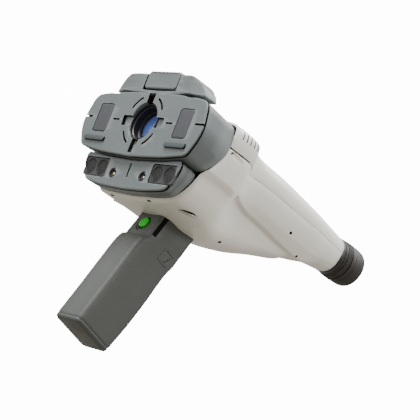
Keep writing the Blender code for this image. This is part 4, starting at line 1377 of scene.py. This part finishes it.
# eyepiece
eyepiece = {
    "collar": [(18.9, 263.9), (19.2, 263.4), (19.2, 259.5), (18.9, 258.9), (15.0, 258.9), (15.0, 263.9)],
    "ribs": 60, "ribDepth": 0.28,
    # distance, radius, share of the ribs
    "ringOutside": [(264.3, 19.0, 0), (264.7, 19.45, 0), (265.9, 19.6, 0), (266.2, 18.8, 0), (266.8, 18.7, 0),
                    (267.05, 19.3, 0.3), (267.4, 19.9, 1), (272.4, 20.1, 1), (272.8, 19.6, 0.3), (273.0, 18.9, 0),
                    (273.7, 18.9, 0), (274.0, 19.9, 0), (274.5, 20.2, 0), (278.6, 20.2, 0), (278.95, 19.9, 0)],
    "cup": [(15.0, 293.4), (15.5, 293.9), (16.4, 294.1), (17.6, 293.7), (18.6, 292.8), (19.3, 291.2), (19.7, 288.5),
            (20.0, 283.0), (20.1, 279.8), (19.9, 279.35), (13.7, 279.35), (13.9, 286.0), (14.3, 290.5)],
}


def makeEyepiece(look):
    collar = shade(spun("eyepieceCollar", look["collar"], 96), 35)
    settle(collar, headFrame, "head", "blackPlastic", ("eyepiece_collar",))
    perRib = 6
    count = look["ribs"] * perRib
    rings = []
    for y, radius, share in look["ringOutside"]:
        ring = []
        for i in range(count):
            turn = 2 * math.pi * i / count
            dip = look["ribDepth"] * share if i % perRib in (0, 1) else 0.0
            ring.append(Vector(((radius - dip * 2.2) * math.cos(turn), y, (radius - dip * 2.2) * math.sin(turn))) * mm)
        rings.append(ring)
    for y in (278.95, 264.3):
        rings.append([Vector((13.8 * math.cos(2 * math.pi * i / count), y,
                              13.8 * math.sin(2 * math.pi * i / count))) * mm for i in range(count)])
    ringPiece = shade(loftPiece("diopterRing", rings, joined=True), 32)
    settle(ringPiece, headFrame, "eyepiece_ring", "eyeRubber", ("diopter_ring",))
    cup = shade(spun("eyecup", look["cup"], 96), 35)
    settle(cup, headFrame, "eyepiece_ring", "eyeRubber", ("eyecup",))


makeEyepiece(eyepiece)
print("eyepiece is made")


# control panel on top of the head
panelLook = {
    "centre": 80.0, "size": (54.0, 24.0, 4.5), "levels": [(0.0, 25.4), (0.0, 28.6), (0.25, 29.2), (0.9, 29.6)],
    "keys": (("mode", -14.0), ("print", 0.0), ("power", 14.0)), "well": ((0, 27.3), (0, 33)),
    "key": (9.6, 7.6, 2.2), "keyFoot": 28.5, "keyTop": 30.9,
}


def flatRings(outline, levels, y):
    return [[Vector((a, y * mm + b, height * mm)) for a, b in inwards(outline, shrink * mm)]
            for shrink, height in levels]


def makePanel(look):
    width, depth, radius = look["size"]
    middle = look["centre"]
    keys = ("gripGrey", "paintedShadeBlack")
    outline = scaled(roundedBox(width, depth, radius, 6))
    panel = giveFinishes(loftPiece("controlPanel", flatRings(outline, look["levels"], middle)), keys)
    wide, deep, corner = look["key"]
    cutters = []
    # the key wells' walls are painted shade
    for _, x in look["keys"]:
        outline = scaled(moved(roundedBox(wide + 0.8, deep + 0.8, corner + 0.3), x, 0))
        cutters.append(blackBody(loftPiece("cutter", flatRings(outline, look["well"], middle)), keys))
    cutAway(panel, cutters)
    roundEdges(panel, 0.2 * mm, 2, 50)
    settle(shade(panel, 35), headFrame, "head", "gripGrey", ("control_panel",), ("paintedShadeBlack",))
    top = look["keyTop"]
    for name, x in look["keys"]:
        outline = scaled(moved(roundedBox(wide, deep, corner), x, 0))
        levels = ((0, look["keyFoot"]), (0, top - 0.6), (0.15, top - 0.25), (0.55, top - 0.03), (1.4, top),
                  (2.6, top - 0.12))
        key = shade(loftPiece(name + "Key", flatRings(outline, levels, middle)), 40)
        settle(key, headFrame, name + "_key", "coverGrey", (name + "_button",))


makePanel(panelLook)
print("control panel is made")


# what the frame's own shapes keep: each takes its finish from its slot
finishOfSlot = {"cover_grey": "coverGrey", "grip_grey": "gripGrey", "housing_ivory": "ivory", "pad_grey": "padGrey",
                "black_plastic": "blackPlastic", "eyecup_rubber": "eyeRubber", "coated_glass": "darkLens",
                "screw_steel": "steel", "bench_aluminium": "aluminium", "button_green": "buttonGreen",
                "circuit_board": "board", "battery_wrap": "batteryWrap", "brass_parts": "brass"}
slotOfNode = {row["node"]: row["material_slot"] for row in frame["record"]["subparts"]}
for name, node in frame["nodes"].items():
    if node.hide_render:
        continue
    node.data.materials.clear()
    node.data.materials.append(finishes[finishOfSlot[slotOfNode[name]]])
print("carried-over shapes have their finishes")
